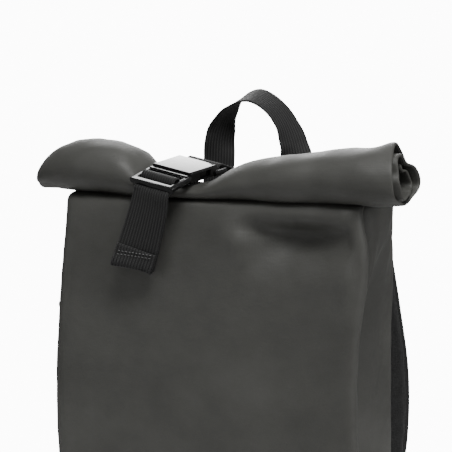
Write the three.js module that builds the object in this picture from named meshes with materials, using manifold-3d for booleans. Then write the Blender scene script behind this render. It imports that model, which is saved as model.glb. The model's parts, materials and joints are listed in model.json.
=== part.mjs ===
// A rolltop backpack of matt coated cloth, standing on its base. Its flattened mouth is rolled forwards and held down
// by one wide strap with a side release buckle. A webbing carry handle, two padded shoulder straps and a padded back
// panel are on its back, and a short zip runs up its left side.
// Millimetres. +X is to the right of someone who looks at the front, -Y is the front, +Z is up.
// The origin is the middle of the base, on the floor.
import * as THREE from "three";
import { mergeVertices } from "three/addons/utils/BufferGeometryUtils.js";
import Module from "manifold-3d";

const wasm = await Module();
wasm.setup();

// The sack
const FRONT_WIDTH = 286; // front panel, from corner to corner
const BACK_WIDTH = 272; // back panel, from corner to corner
const SACK_DEPTH = 130; // front panel to back panel, at the floor
const FRONT_HEIGHT = 396; // floor to the top edge of the front panel
const BACK_HEIGHT = 397; // floor to the top edge of the back panel
const CORNER_ROUND = 11; // upright corners
const BASE_ROUND = 9; // edge between the base and the walls
const BELLY = 7; // how far the filled front stands out
const CLOTH = 1.2; // coated cloth with its backing
const LINING = 1.3; // inside the sack's walls, below the shoulders
const BASE_STIFFENER = 1.6; // inside the base
const LAYER_GAP = 0.4; // air between the two layers of the flattened mouth
const SEAM_GAP = 0.3; // between pieces that are sewn to each other

// The roll
const MOUTH_WIDTH = 342; // flattened mouth, from fold to fold
const ROLL_HEIGHT = 54; // a full round part of the roll
const ROLL_DEPTH = 60;
const ROLL_TURNS = 2.2;
const ROLL_AIR = 3.6; // air between one turn and the next where the roll is loose
const ROLL_OVERHANG = 4; // how far the roll's front stands out from the front panel's foot
const ROLL_SEAT = 1; // how far the roll's underside is below the front panel's top edge
const NECK_LENGTH = 5; // straight stretch of the flattened cloth before it is rolled

// The closing strap and its buckle
const CLOSURE_WEBBING = 38;
const WEBBING_THICKNESS = 1.8;
const CLOSURE_SWING = 45; // how far the strap moves to the left on its way from the back to the front
const TAIL_DROP = 73; // from the buckle's front bar down to the end of the strap
const BUCKLE_CLEARANCE = 0.8; // between the roll and the buckle that lies on it
const BUCKLE_PITCH = 8; // degrees that the buckle leans forwards
const BUCKLE_LEAN = 9; // degrees that it leans to its right
const BUCKLE_WALL = 2.2;
const SOCKET_LENGTH = 36;
const SOCKET_THICKNESS = 10.5;
const SOCKET_FRAME = 14; // the frame behind the socket, with the bar that the back strap is sewn round
const PLUG_FRAME = 23; // the frame in front of the socket, with its two bars
const PLUG_DROOP = 9; // degrees that this frame bends down
const FRAME_THICKNESS = 5;
const FRAME_RAIL = 4.5;
const BAR = 4;
const PRONG_CLEARANCE = 0.4;
const STRAP_WRAP = [60, 262]; // degrees at which the closing strap meets and leaves the socket's bar
const TAIL_WRAP = [-60, 240]; // degrees at which the tail meets and leaves the plug's middle bar

// The carry handle
const HANDLE_WEBBING = 30;
const HANDLE_SPREAD = 80; // between the middles of its two feet
const HANDLE_RISE = 94; // from the top of the yoke to the middle of the arch
const HANDLE_FOOT = 24; // sewn length of each foot

// The padded back and the shoulder straps
const PAD_WIDTH = 204;
const PAD_HEIGHT = 292;
const PAD_THICKNESS = 7;
const PAD_CROWN = 3; // how far its middle swells
const PAD_ABOVE_FLOOR = 38;
const YOKE_WIDTH = 236;
const YOKE_HEIGHT = 50;
const YOKE_THICKNESS = 2.4;
const STRAP_WIDTH = 62;
const STRAP_THICKNESS = 9;
const STRAP_DROP = 262; // from the sewn end down to the lower end of the padding
const STRAP_STAND_OFF = 52; // from the back panel to the middle of the strap
const STRAP_INSET = 84; // middle of the bag to the middle of a strap's sewn end
const STRAP_SPREAD = 112; // middle of the bag to the middle of a strap's lower half
const STRAP_WEBBING = 25;
const ADJUSTER_LENGTH = 26;
const WEBBING_SAG = 34; // how far the lower webbing runs straight down before it bends to the bag
const ANCHOR_HEIGHT = 34; // floor to the middle of the strap's lower anchor

// The zip
const ZIP_TOP = 299;
const ZIP_LENGTH = 214;
const ZIP_TAPE = 20;
const ZIP_TAPE_THICKNESS = 1;
const ZIP_CHAIN = 5;
const SLIDER_LENGTH = 11;
const SLIDER_WIDTH = 8;
const RING_RADIUS = 4.5; // to the middle of its wire
const RING_WIRE = 1.5;
const PULL_LENGTH = 46;
const PULL_WIDTH = 7.5;
const PULL_THICKNESS = 1.8;

// The sack from the floor to the panels' top edges. height: share of the panels' height. front: share of the depth in
// front of the back panel. width: share of the panel widths. crease: how far the middle of each side is folded in, as a
// share of the depth; a negative one stands out. sway: how far the bag leans to its right, as a share of the width.
const SACK_ROWS = [
  { height: 0.03, front: 0.995, width: 1.0, crease: 0.0, sway: 0.0 },
  { height: 0.14, front: 1.01, width: 1.01, crease: 0.06, sway: -0.002 },
  { height: 0.3, front: 1.015, width: 1.015, crease: 0.13, sway: -0.01 },
  { height: 0.46, front: 1.01, width: 1.01, crease: 0.18, sway: -0.022 },
  { height: 0.6, front: 0.995, width: 1.005, crease: 0.2, sway: -0.028 },
  { height: 0.72, front: 0.985, width: 1.005, crease: 0.18, sway: -0.02 },
  { height: 0.8, front: 0.98, width: 1.01, crease: 0.12, sway: -0.009 },
  { height: 0.86, front: 0.975, width: 1.01, crease: 0.04, sway: -0.002 },
  { height: 0.91, front: 0.972, width: 1.0, crease: -0.04, sway: 0.0 },
  { height: 0.95, front: 0.97, width: 0.985, crease: -0.09, sway: -0.003 },
  { height: 0.985, front: 0.96, width: 0.975, crease: -0.12, sway: -0.006 },
];

// The shoulders, from the panels' top edges (0) to the neck (1)
const SHOULDER_ROWS = [0.25, 0.52, 0.78];

// Hollows and swellings of the front panel. x: share of half its width. z: share of its height. wide, and above and
// below the middle: shares of its width and height. deep: share of the depth; a negative one swells.
const FRONT_DENTS = [
  { x: 0.6, z: 0.953, wide: 0.157, above: 0.017, below: 0.066, deep: 0.104 },
  { x: 0.4, z: 0.859, wide: 0.14, above: 0.05, below: 0.056, deep: 0.035 },
  { x: 0.14, z: 0.918, wide: 0.052, above: 0.056, below: 0.066, deep: -0.035 },
  { x: 0.94, z: 0.839, wide: 0.077, above: 0.051, below: 0.051, deep: -0.03 },
  { x: -0.55, z: 0.81, wide: 0.3, above: 0.1, below: 0.1, deep: 0.02 },
];

// The roll along its length. at: share of half the mouth's width, from the left end to the right. height and depth:
// shares of the full round roll. lift: share of its height. air: share of the air between its turns.
const ROLL_STATIONS = [
  { at: -1.0, height: 0.5, depth: 0.76, lift: 0.07, air: 0.4 },
  { at: -0.88, height: 0.76, depth: 0.9, lift: 0.06, air: 0.8 },
  { at: -0.7, height: 0.9, depth: 0.98, lift: 0.06, air: 1.0 },
  { at: -0.54, height: 0.86, depth: 0.96, lift: 0.04, air: 0.9 },
  { at: -0.45, height: 0.7, depth: 0.92, lift: 0.02, air: 0.5 },
  { at: -0.36, height: 0.34, depth: 0.87, lift: 0.0, air: 0.05 },
  { at: -0.2, height: 0.29, depth: 0.86, lift: 0.0, air: 0.0 },
  { at: -0.05, height: 0.3, depth: 0.88, lift: 0.0, air: 0.0 },
  { at: 0.1, height: 0.54, depth: 0.94, lift: 0.0, air: 0.3 },
  { at: 0.32, height: 0.74, depth: 1.0, lift: 0.0, air: 0.8 },
  { at: 0.6, height: 0.86, depth: 1.03, lift: 0.0, air: 1.0 },
  { at: 0.85, height: 0.95, depth: 1.05, lift: 0.0, air: 1.0 },
  { at: 1.0, height: 0.96, depth: 0.98, lift: 0.0, air: 1.0 },
];

// The folded ends of the mouth as it winds. turn: share of all the turns. left and right: shares of half the mouth's
// width.
const ROLL_ENDS = [
  { turn: 0.0, left: 0.96, right: 0.98 },
  { turn: 0.1, left: 0.965, right: 0.955 },
  { turn: 0.22, left: 1.0, right: 0.985 },
  { turn: 0.34, left: 1.03, right: 1.01 },
  { turn: 0.45, left: 0.97, right: 1.05 },
  { turn: 0.57, left: 0.94, right: 0.985 },
  { turn: 0.8, left: 0.93, right: 1.03 },
  { turn: 1.0, left: 0.89, right: 0.98 },
];

// The carry handle's arch from its left foot to its right. x: share of the spread. z: share of the rise. y: share of the
// webbing's width behind the yoke. turn: degrees that the webbing has turned from lying flat on the yoke. tip: degrees
// that it leans.
const HANDLE_ARCH = [
  { x: -0.5, z: 0.0, y: 0.0, turn: 0, tip: 0 },
  { x: -0.49, z: 0.14, y: 0.0, turn: 4, tip: 0 },
  { x: -0.48, z: 0.34, y: 0.02, turn: 14, tip: 0 },
  { x: -0.47, z: 0.58, y: 0.05, turn: 40, tip: 8 },
  { x: -0.38, z: 0.8, y: 0.05, turn: 62, tip: 16 },
  { x: -0.22, z: 0.95, y: 0.0, turn: 74, tip: 20 },
  { x: -0.02, z: 1.0, y: 0.0, turn: 78, tip: 20 },
  { x: 0.19, z: 0.91, y: 0.0, turn: 74, tip: 16 },
  { x: 0.35, z: 0.75, y: 0.02, turn: 66, tip: 10 },
  { x: 0.45, z: 0.54, y: 0.05, turn: 48, tip: 4 },
  { x: 0.5, z: 0.34, y: 0.02, turn: 16, tip: 0 },
  { x: 0.5, z: 0.14, y: 0.0, turn: 4, tip: 0 },
  { x: 0.5, z: 0.0, y: 0.0, turn: 0, tip: 0 },
];

// A shoulder strap from its sewn end to the lower end of its padding. down: share of the drop. out: share of the way
// from the inset to the spread. off: share of the stand-off. width: share of the full width. turn: degrees that its flat
// side turns outwards.
const STRAP_CURVE = [
  { down: 0.0, out: 0.0, off: 0.0, width: 0.8, turn: 0 },
  { down: -0.045, out: 0.0, off: 0.1, width: 0.84, turn: 0 },
  { down: -0.085, out: 0.02, off: 0.42, width: 0.92, turn: 2 },
  { down: -0.03, out: 0.08, off: 0.78, width: 0.98, turn: 5 },
  { down: 0.12, out: 0.2, off: 1.0, width: 1.0, turn: 8 },
  { down: 0.32, out: 0.5, off: 1.08, width: 1.0, turn: 10 },
  { down: 0.55, out: 0.85, off: 1.05, width: 0.96, turn: 8 },
  { down: 0.78, out: 1.0, off: 0.92, width: 0.86, turn: 4 },
  { down: 1.0, out: 1.0, off: 0.76, width: 0.66, turn: 0 },
];

const degrees = THREE.MathUtils.degToRad;
const lerp = THREE.MathUtils.lerp;
const clamp = THREE.MathUtils.clamp;
const point = (x, y, z) => new THREE.Vector3(x, y, z);

const BACK_Y = SACK_DEPTH / 2;
const HALF_LAYERS = (CLOTH + LAYER_GAP) / 2; // from the middle of the flattened cloth to the middle of one layer
const EDGE = HALF_LAYERS + CLOTH / 2; // from the middle of the flattened cloth to its face
const NECK_Y = -BACK_Y - ROLL_OVERHANG + ROLL_DEPTH - EDGE;
const ROLL_FRONT = NECK_Y + EDGE - ROLL_DEPTH;
const ROLL_FLOOR = FRONT_HEIGHT - ROLL_SEAT;

// The value of one column of a table at a place along it, on a smooth curve through its rows.
function along(table, key, value, at) {
  const last = table.length - 1;
  let i = table.findIndex((row, n) => n === last - 1 || at < table[n + 1][key]);
  i = clamp(i, 0, last - 1);
  const [a, b] = [table[i], table[i + 1]];
  const [before, after] = [table[Math.max(i - 1, 0)], table[Math.min(i + 2, last)]];
  const step = b[key] - a[key];
  const t = clamp((at - a[key]) / step, 0, 1);
  const slopeA = ((b[value] - before[value]) / Math.max(b[key] - before[key], 1e-9)) * step;
  const slopeB = ((after[value] - a[value]) / Math.max(after[key] - a[key], 1e-9)) * step;
  const [t2, t3] = [t * t, t * t * t];
  return (
    (2 * t3 - 3 * t2 + 1) * a[value] +
    (t3 - 2 * t2 + t) * slopeA +
    (3 * t2 - 2 * t3) * b[value] +
    (t3 - t2) * slopeB
  );
}

// A solid from rings of equally many points. Ends are closed with a fan, or the last ring runs on into the first. The two
// faces of a thin sheet are split on the same corners: turned says which quads are on its second face.
function solidFromRings(rings, endless = false, turned = () => false) {
  const count = rings[0].length;
  const points = rings.flat();
  const faces = [];
  const bridges = endless ? rings.length : rings.length - 1;
  for (let r = 0; r < bridges; r++) {
    const [low, high] = [r * count, ((r + 1) % rings.length) * count];
    for (let i = 0; i < count; i++) {
      const j = (i + 1) % count;
      if (!turned(r, i)) faces.push(low + i, low + j, high + j, low + i, high + j, high + i);
      else faces.push(low + i, low + j, high + i, low + j, high + j, high + i);
    }
  }
  if (!endless) {
    for (const [start, first] of [[0, true], [(rings.length - 1) * count, false]]) {
      const ring = first ? rings[0] : rings[rings.length - 1];
      const middle = ring.reduce((sum, p) => sum.add(p), point(0, 0, 0)).divideScalar(count);
      points.push(middle);
      for (let i = 0; i < count; i++) {
        const j = (i + 1) % count;
        faces.push(...(first ? [points.length - 1, start + j, start + i] : [points.length - 1, start + i, start + j]));
      }
    }
  }
  const geometry = new THREE.BufferGeometry().setFromPoints(points).setIndex(faces);
  return facingOut(geometry);
}

// Turns a closed surface the right way round.
function facingOut(geometry) {
  const [at, index] = [geometry.getAttribute("position"), geometry.index.array];
  const [a, b, c] = [point(0, 0, 0), point(0, 0, 0), point(0, 0, 0)];
  let volume = 0;
  for (let i = 0; i < index.length; i += 3) {
    a.fromBufferAttribute(at, index[i]);
    b.fromBufferAttribute(at, index[i + 1]);
    c.fromBufferAttribute(at, index[i + 2]);
    volume += a.dot(b.clone().cross(c));
  }
  if (volume < 0) {
    for (let i = 0; i < index.length; i += 3) {
      [index[i + 1], index[i + 2]] = [index[i + 2], index[i + 1]];
    }
  }
  return geometry;
}

// The middle surface of a piece of cloth, as rows of points that each close on themselves, with its outer and inner
// faces half a cloth away from it. The lining says how much thicker each row is on the inside.
function clothFaces(rows, lining = () => 0) {
  const count = rows[0].length;
  const faces = [];
  for (let r = 0; r < rows.length - 1; r++) {
    for (let i = 0; i < count; i++) {
      const [a, b] = [r * count + i, r * count + ((i + 1) % count)];
      faces.push(a, b, b + count, a, b + count, a + count);
    }
  }
  const surface = new THREE.BufferGeometry().setFromPoints(rows.flat()).setIndex(faces);
  surface.computeVertexNormals();
  const normals = surface.getAttribute("normal");
  const shifted = (distance) =>
    rows.map((row, r) =>
      row.map((p, i) => {
        const normal = point(0, 0, 0).fromBufferAttribute(normals, r * count + i);
        return p.clone().addScaledVector(normal, distance(r));
      }),
    );
  return { outer: shifted(() => CLOTH / 2), inner: shifted((r) => -CLOTH / 2 - lining(r)) };
}

// A band along a line of stations, each with its middle, the direction across it, its width and its thickness. A
// padded band has eight edges.
function band(stations, padded = false) {
  const rings = stations.map(({ at, across, width, thickness }, i) => {
    const ahead = stations[Math.min(i + 1, stations.length - 1)].at;
    const behind = stations[Math.max(i - 1, 0)].at;
    const along = ahead.clone().sub(behind).normalize();
    const normal = along.clone().cross(across).normalize();
    const side = normal.clone().cross(along).normalize();
    const [w, t] = [width / 2, thickness / 2];
    const corners = padded
      ? [
          [-w, -t * 0.4], [-w + t * 0.9, -t], [w - t * 0.9, -t], [w, -t * 0.4],
          [w, t * 0.4], [w - t * 0.9, t], [-w + t * 0.9, t], [-w, t * 0.4],
        ]
      : [[-w, -t], [w, -t], [w, t], [-w, t]];
    return corners.map(([u, v]) => at.clone().addScaledVector(side, u).addScaledVector(normal, v));
  });
  return solidFromRings(rings, false, (r, i) => i >= rings[0].length / 2);
}

// A plate with round corners, width by height in X and Z, its back on the plane y = 0 and its face towards +Y. Its face
// swells by crown in the middle.
function plate(width, height, thickness, radius, crown = 0) {
  const cornerSteps = 3;
  const outline = (inset, y) => {
    const ring = [];
    const [w, h, r] = [width / 2 - inset, height / 2 - inset, Math.max(radius - inset, 0.5)];
    for (const [sx, sz, from] of [[1, 1, 0], [-1, 1, 90], [-1, -1, 180], [1, -1, 270]]) {
      for (let i = 0; i <= cornerSteps; i++) {
        const angle = degrees(from + (90 * i) / cornerSteps);
        ring.push(point(sx * (w - r) + r * Math.cos(angle), y, sz * (h - r) + r * Math.sin(angle)));
      }
    }
    return ring;
  };
  const chamfer = thickness * 0.3;
  const rings = [outline(0, 0), outline(0, thickness - chamfer), outline(chamfer, thickness)];
  if (crown > 0) {
    rings.push(outline(Math.min(width, height) * 0.16, thickness + crown * 0.75));
    rings.push(outline(Math.min(width, height) * 0.34, thickness + crown));
  }
  return solidFromRings(rings);
}

// The cloth lines that run up the bag, once round it: along the front from left to right, round the right side, along
// the back and round the left side. panel: share of half the panel's flat width. side: share of the way from a corner
// to the middle of the side.
const PANEL_LINES = 15;
const SIDE_LINES = [0.0, 0.22, 0.6, 0.94];
const LINES = [];
for (let i = 0; i < PANEL_LINES; i++) {
  LINES.push({ face: -1, panel: lerp(-1, 1, i / (PANEL_LINES - 1)) });
}
for (const side of SIDE_LINES) LINES.push({ face: -1, hand: 1, side });
LINES.push({ face: 0, hand: 1, side: 1 });
for (const side of [...SIDE_LINES].reverse()) LINES.push({ face: 1, hand: 1, side });
for (let i = 0; i < PANEL_LINES; i++) {
  LINES.push({ face: 1, panel: lerp(1, -1, i / (PANEL_LINES - 1)) });
}
for (const side of SIDE_LINES) LINES.push({ face: 1, hand: -1, side });
LINES.push({ face: 0, hand: -1, side: 1 });
for (const side of [...SIDE_LINES].reverse()) LINES.push({ face: -1, hand: -1, side });

// How far the front panel is pressed in at a place.
function frontDent(x, z) {
  return FRONT_DENTS.reduce((sum, dent) => {
    const u = (x - (dent.x * FRONT_WIDTH) / 2) / (dent.wide * FRONT_WIDTH);
    const rise = z - dent.z * FRONT_HEIGHT;
    const v = rise / ((rise > 0 ? dent.above : dent.below) * FRONT_HEIGHT);
    return sum + dent.deep * SACK_DEPTH * Math.exp(-u * u - v * v);
  }, 0);
}

// A point of the sack's middle surface on one cloth line, below the shoulders.
function wallPoint(line, row) {
  const half = ((line.face > 0 ? BACK_WIDTH : FRONT_WIDTH) / 2) * row.width - CLOTH / 2;
  const sway = (line.face > 0 ? 0 : row.sway) * FRONT_WIDTH;
  const front = BACK_Y - row.front * SACK_DEPTH + CLOTH / 2;
  const back = BACK_Y - CLOTH / 2;
  const y = line.face > 0 ? back : front;
  const z = row.height * (line.face > 0 ? BACK_HEIGHT : FRONT_HEIGHT);
  if (line.panel !== undefined) {
    const x = line.panel * (half - CORNER_ROUND) + sway;
    const belly = BELLY * (1 - line.panel ** 2) * Math.sin(Math.PI * row.height);
    return point(x, line.face > 0 ? y : y - belly + frontDent(x, z), z);
  }
  const corner = point(line.hand * half + sway, y - line.face * CORNER_ROUND, z);
  if (line.side === 0) {
    return point(line.hand * (half - 0.3 * CORNER_ROUND) + sway, y - line.face * 0.3 * CORNER_ROUND, z);
  }
  const halfMiddle = ((FRONT_WIDTH + BACK_WIDTH) / 4) * row.width - row.crease * SACK_DEPTH;
  const middleX = line.hand * halfMiddle + (row.sway * FRONT_WIDTH) / 2;
  const middle = point(middleX, (front + back) / 2, (row.height * (FRONT_HEIGHT + BACK_HEIGHT)) / 2);
  const from = SIDE_LINES[1];
  return corner.lerp(middle, (line.side - from) / (1 - from));
}

// Where a cloth line lies across the flattened mouth, at a share of all the turns.
function mouthX(line, turned) {
  const corner = FRONT_WIDTH / 2 - CORNER_ROUND;
  if (line.panel !== undefined) return line.panel * corner;
  const reach = along(ROLL_ENDS, "turn", line.hand > 0 ? "right" : "left", turned);
  return line.hand * lerp(corner, (reach * MOUTH_WIDTH) / 2 - CLOTH / 2, line.side ** 0.8);
}

// The roll's section at a place along it: the middle of the flattened cloth winds inwards on a flattened spiral.
function rollSection(x) {
  const at = clamp(x / (MOUTH_WIDTH / 2), -1, 1);
  const value = (key) => along(ROLL_STATIONS, "at", key, at);
  const pitch = 2 * CLOTH + 2 * LAYER_GAP + ROLL_AIR * value("air");
  const halfHeight = (ROLL_HEIGHT * value("height") + pitch) / 2 - EDGE;
  const halfDepth = (ROLL_DEPTH * value("depth") + pitch / 2) / 2 - EDGE;
  const middleZ = ROLL_FLOOR + ROLL_HEIGHT * value("lift") + halfHeight - 0.75 * pitch + EDGE;
  return { pitch, halfHeight, halfDepth, middleY: NECK_Y - halfDepth, middleZ };
}

// A cloth line at some winding angle of the roll, or at some drop below it on the straight neck.
function rolledPoint(line, angle, drop = 0) {
  const turned = angle / (2 * Math.PI);
  const x = mouthX(line, turned / ROLL_TURNS);
  const { pitch, halfHeight, halfDepth, middleY, middleZ } = rollSection(x);
  const inwards = line.face * HALF_LAYERS - pitch * turned;
  return point(
    x,
    middleY + (halfDepth + inwards) * Math.cos(angle),
    middleZ + (halfHeight + inwards) * Math.sin(angle) - drop,
  );
}

// A point of the shoulders, on a curve that leaves the panels' top edges level and turns up into the neck.
function shoulderPoint(line, share) {
  const top = SACK_ROWS[SACK_ROWS.length - 1];
  const edge = wallPoint(line, top);
  const neck = rolledPoint(line, 0, NECK_LENGTH * 2);
  const level = lerp(edge.z, neck.z, line.face > 0 ? 0.45 : 0.1);
  const bend = point(lerp(edge.x, neck.x, 0.6), neck.y, level);
  const lip = point(edge.x, edge.y, lerp(edge.z, (line.face > 0 ? BACK_HEIGHT : FRONT_HEIGHT), 0.9));
  const curve = new THREE.CubicBezierCurve3(edge, lip, bend, neck);
  return curve.getPoint(share);
}

function mainSack() {
  const foot = { ...SACK_ROWS[0], height: 0 };
  const inset = (line, distance, z) => {
    const p = wallPoint(line, foot);
    const [w, d] = [FRONT_WIDTH / 2, SACK_DEPTH / 2];
    return point((p.x * (w - distance)) / w, (p.y * (d - distance)) / d, z);
  };
  const middle = [
    LINES.map((line) => inset(line, BASE_ROUND, CLOTH / 2)),
    LINES.map((line) => inset(line, BASE_ROUND * 0.3, BASE_ROUND * 0.35)),
    ...SACK_ROWS.map((row) => LINES.map((line) => wallPoint(line, row))),
    ...SHOULDER_ROWS.map((share) => LINES.map((line) => shoulderPoint(line, share))),
    LINES.map((line) => rolledPoint(line, 0, NECK_LENGTH * 2)),
    LINES.map((line) => rolledPoint(line, 0, NECK_LENGTH + SEAM_GAP)),
  ];
  const wallRows = 2 + SACK_ROWS.length;
  const { outer, inner } = clothFaces(middle, (r) => (r < wallRows - 1 ? LINING : 0));
  outer[0] = LINES.map((line) => inset(line, BASE_ROUND, 0));
  inner[0] = LINES.map((line) => inset(line, BASE_ROUND + CLOTH + LINING, CLOTH + BASE_STIFFENER));
  return solidFromRings([...outer, ...inner.reverse()], false, (r) => r >= outer.length);
}

function rolledCollar() {
  const stepsPerTurn = 10;
  const steps = Math.round(ROLL_TURNS * stepsPerTurn);
  const middle = [LINES.map((line) => rolledPoint(line, 0, NECK_LENGTH))];
  for (let i = 0; i <= steps; i++) {
    const angle = (2 * Math.PI * ROLL_TURNS * i) / steps;
    middle.push(LINES.map((line) => rolledPoint(line, angle)));
  }
  const { outer, inner } = clothFaces(middle);
  return solidFromRings([...outer, ...inner.reverse()], true, (r) => r >= outer.length);
}

// The closing strap's way across the bag, seen from above: a straight line that swings to the left.
const YOKE_FACE = BACK_Y + SEAM_GAP + YOKE_THICKNESS;
const SWING_ANGLE = Math.atan2(CLOSURE_SWING, YOKE_FACE - ROLL_FRONT);
const swingX = (y) => (-CLOSURE_SWING * (YOKE_FACE - y)) / (YOKE_FACE - ROLL_FRONT);

// The top of the roll under a place.
function rollTop(x, y) {
  const { pitch, halfHeight, halfDepth, middleY, middleZ } = rollSection(x);
  const across = (y - middleY) / (halfDepth + EDGE);
  if (Math.abs(across) >= 1) return -Infinity;
  return middleZ + (halfHeight - 0.25 * pitch + EDGE) * Math.sqrt(1 - across * across);
}

// The buckle's own frame: +X across to the right, +Y along the strap to the back, +Z up from the roll. Its origin is
// the mouth of the socket, on the buckle's underside.
const MOUTH_Y = ROLL_FRONT + 0.3 * ROLL_DEPTH;
const BUCKLE_FRAME = new THREE.Group();
BUCKLE_FRAME.position.set(swingX(MOUTH_Y), MOUTH_Y, 0);
BUCKLE_FRAME.rotation.set(degrees(BUCKLE_PITCH), degrees(BUCKLE_LEAN), -SWING_ANGLE, "ZXY");

const SOCKET_WIDTH = CLOSURE_WEBBING + 2 * FRAME_RAIL - 2;
const FRAME_WIDTH = CLOSURE_WEBBING + 2 * FRAME_RAIL + 2;
const WINDOW = CLOSURE_WEBBING + 1.6;

const SOCKET_MIDDLE = SOCKET_THICKNESS / 2;
const PLUG_FOOT = SOCKET_MIDDLE - FRAME_THICKNESS / 2 - 2.6 * WEBBING_THICKNESS; // underside of the webbing there

// Lifts the buckle until no part of its underside is in the roll.
function buckleLift() {
  BUCKLE_FRAME.position.z = 0;
  BUCKLE_FRAME.updateMatrixWorld(true);
  let lift = 0;
  for (let u = -1; u <= 1; u += 0.25) {
    for (let v = -0.6; v <= 1; v += 0.1) {
      const local = point((u * SOCKET_WIDTH) / 2, v * (SOCKET_LENGTH + SOCKET_FRAME), v < 0 ? PLUG_FOOT : 0);
      const world = local.applyMatrix4(BUCKLE_FRAME.matrixWorld);
      lift = Math.max(lift, rollTop(world.x, world.y) - world.z);
    }
  }
  return lift + BUCKLE_CLEARANCE;
}
BUCKLE_FRAME.position.z = buckleLift();
BUCKLE_FRAME.updateMatrixWorld(true);
const onBuckle = (x, y, z) => point(x, y, z).applyMatrix4(BUCKLE_FRAME.matrixWorld);
const acrossBuckle = point(1, 0, 0).transformDirection(BUCKLE_FRAME.matrixWorld);
// Places on the plug's frame, which bends down in front of the socket
const droop = degrees(PLUG_DROOP);
const PLUG_AHEAD = SEAM_GAP + FRAME_THICKNESS * Math.sin(droop);
const onPlug = (x, ahead, z) =>
  onBuckle(
    x,
    -PLUG_AHEAD - ahead * Math.cos(droop) - z * Math.sin(droop),
    SOCKET_MIDDLE - ahead * Math.sin(droop) + z * Math.cos(droop),
  );

// A shape with nothing but its points and faces.
function bare(geometry) {
  geometry.deleteAttribute("normal");
  geometry.deleteAttribute("uv");
  return geometry;
}

// Solids for cutting and joining
function asSolid(geometry) {
  const merged = mergeVertices(bare(geometry), 1e-4);
  return new wasm.Manifold(
    new wasm.Mesh({
      numProp: 3,
      vertProperties: new Float32Array(merged.getAttribute("position").array),
      triVerts: new Uint32Array(merged.index.array),
    }),
  );
}
function asGeometry(solid) {
  const mesh = solid.getMesh();
  const geometry = new THREE.BufferGeometry();
  geometry.setAttribute("position", new THREE.BufferAttribute(new Float32Array(mesh.vertProperties), 3));
  return geometry.setIndex(new THREE.BufferAttribute(new Uint32Array(mesh.triVerts), 1));
}
const box = (width, length, height, x, y, z) =>
  asSolid(new THREE.BoxGeometry(width, length, height).translate(x, y, z));
// A slab with round edges on its two long sides: width in X, length in Y, height in Z.
function slab(width, length, height, x, y, z) {
  const round = Math.min(height / 2 - 0.05, 2.2);
  const shape = new THREE.Shape();
  shape.absarc(width / 2 - round, height / 2 - round, round, 0, Math.PI / 2);
  shape.absarc(-width / 2 + round, height / 2 - round, round, Math.PI / 2, Math.PI);
  shape.absarc(-width / 2 + round, -height / 2 + round, round, Math.PI, 1.5 * Math.PI);
  shape.absarc(width / 2 - round, -height / 2 + round, round, 1.5 * Math.PI, 2 * Math.PI);
  const extruded = new THREE.ExtrudeGeometry(shape, { depth: length, bevelEnabled: false, curveSegments: 3 });
  extruded.rotateX(Math.PI / 2).translate(x, y + length / 2, z);
  return asSolid(extruded);
}

const PRONG_WIDTH = 7;
const PRONG_REACH = SOCKET_LENGTH * 0.78;
const PRONG_HEIGHT = SOCKET_THICKNESS - 2 * BUCKLE_WALL - 2 * PRONG_CLEARANCE;

function buckleSocket() {
  const [length, wall] = [SOCKET_LENGTH, BUCKLE_WALL];
  const body = slab(SOCKET_WIDTH, length, SOCKET_THICKNESS, 0, length / 2 + SEAM_GAP, SOCKET_MIDDLE);
  const hollowWidth = SOCKET_WIDTH - 2 * wall;
  const hollowHeight = SOCKET_THICKNESS - 2 * wall;
  const hollow = box(hollowWidth, length - wall, hollowHeight, 0, (length - wall) / 2, SOCKET_MIDDLE);
  const windowLength = length * 0.42;
  const windows = [-1, 1].map((hand) =>
    box(4 * wall, windowLength, hollowHeight, (hand * SOCKET_WIDTH) / 2, length * 0.56, SOCKET_MIDDLE),
  );
  const frameMiddle = length + (SOCKET_FRAME - wall) / 2;
  const frame = slab(FRAME_WIDTH, SOCKET_FRAME + wall, FRAME_THICKNESS, 0, frameMiddle, FRAME_THICKNESS / 2);
  const opening = SOCKET_FRAME - BAR - SEAM_GAP;
  const slot = box(WINDOW, opening, SOCKET_THICKNESS * 2, 0, length + SEAM_GAP + opening / 2, 0);
  const made = body.subtract(hollow).subtract(windows[0]).subtract(windows[1]).add(frame.subtract(slot));
  return asGeometry(made.subtract(hollow));
}

function bucklePlug() {
  const shoulder = slab(SOCKET_WIDTH, FRAME_RAIL, FRAME_THICKNESS * 1.25, 0, -FRAME_RAIL / 2, SOCKET_MIDDLE);
  const hand = (side) => {
    const x = side * (SOCKET_WIDTH / 2 - BUCKLE_WALL - PRONG_CLEARANCE - PRONG_WIDTH / 2);
    const arm = box(PRONG_WIDTH * 0.6, PRONG_REACH, PRONG_HEIGHT, x - side * 0.8, PRONG_REACH / 2 - 1, SOCKET_MIDDLE);
    const tab = box(PRONG_WIDTH, PRONG_REACH * 0.42, PRONG_HEIGHT, x + side * 0.4, PRONG_REACH * 0.74, SOCKET_MIDDLE);
    return arm.add(tab);
  };
  const guide = box(PRONG_WIDTH * 0.7, PRONG_REACH * 0.8, PRONG_HEIGHT * 0.6, 0, PRONG_REACH * 0.4 - 1, SOCKET_MIDDLE);
  const front = PLUG_FRAME + FRAME_RAIL;
  const rails = slab(FRAME_WIDTH, front, FRAME_THICKNESS, 0, -front / 2, 0);
  const windowLength = (PLUG_FRAME - 2 * BAR) / 2;
  const slots = [0, 1].map((n) =>
    box(WINDOW, windowLength, FRAME_THICKNESS * 2, 0, -FRAME_RAIL - windowLength / 2 - n * (windowLength + BAR), 0),
  );
  const frame = rails
    .subtract(slots[0])
    .subtract(slots[1])
    .rotate([PLUG_DROOP, 0, 0])
    .translate([0, -PLUG_AHEAD, SOCKET_MIDDLE]);
  return asGeometry(shoulder.add(hand(-1)).add(hand(1)).add(guide).add(frame));
}

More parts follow.
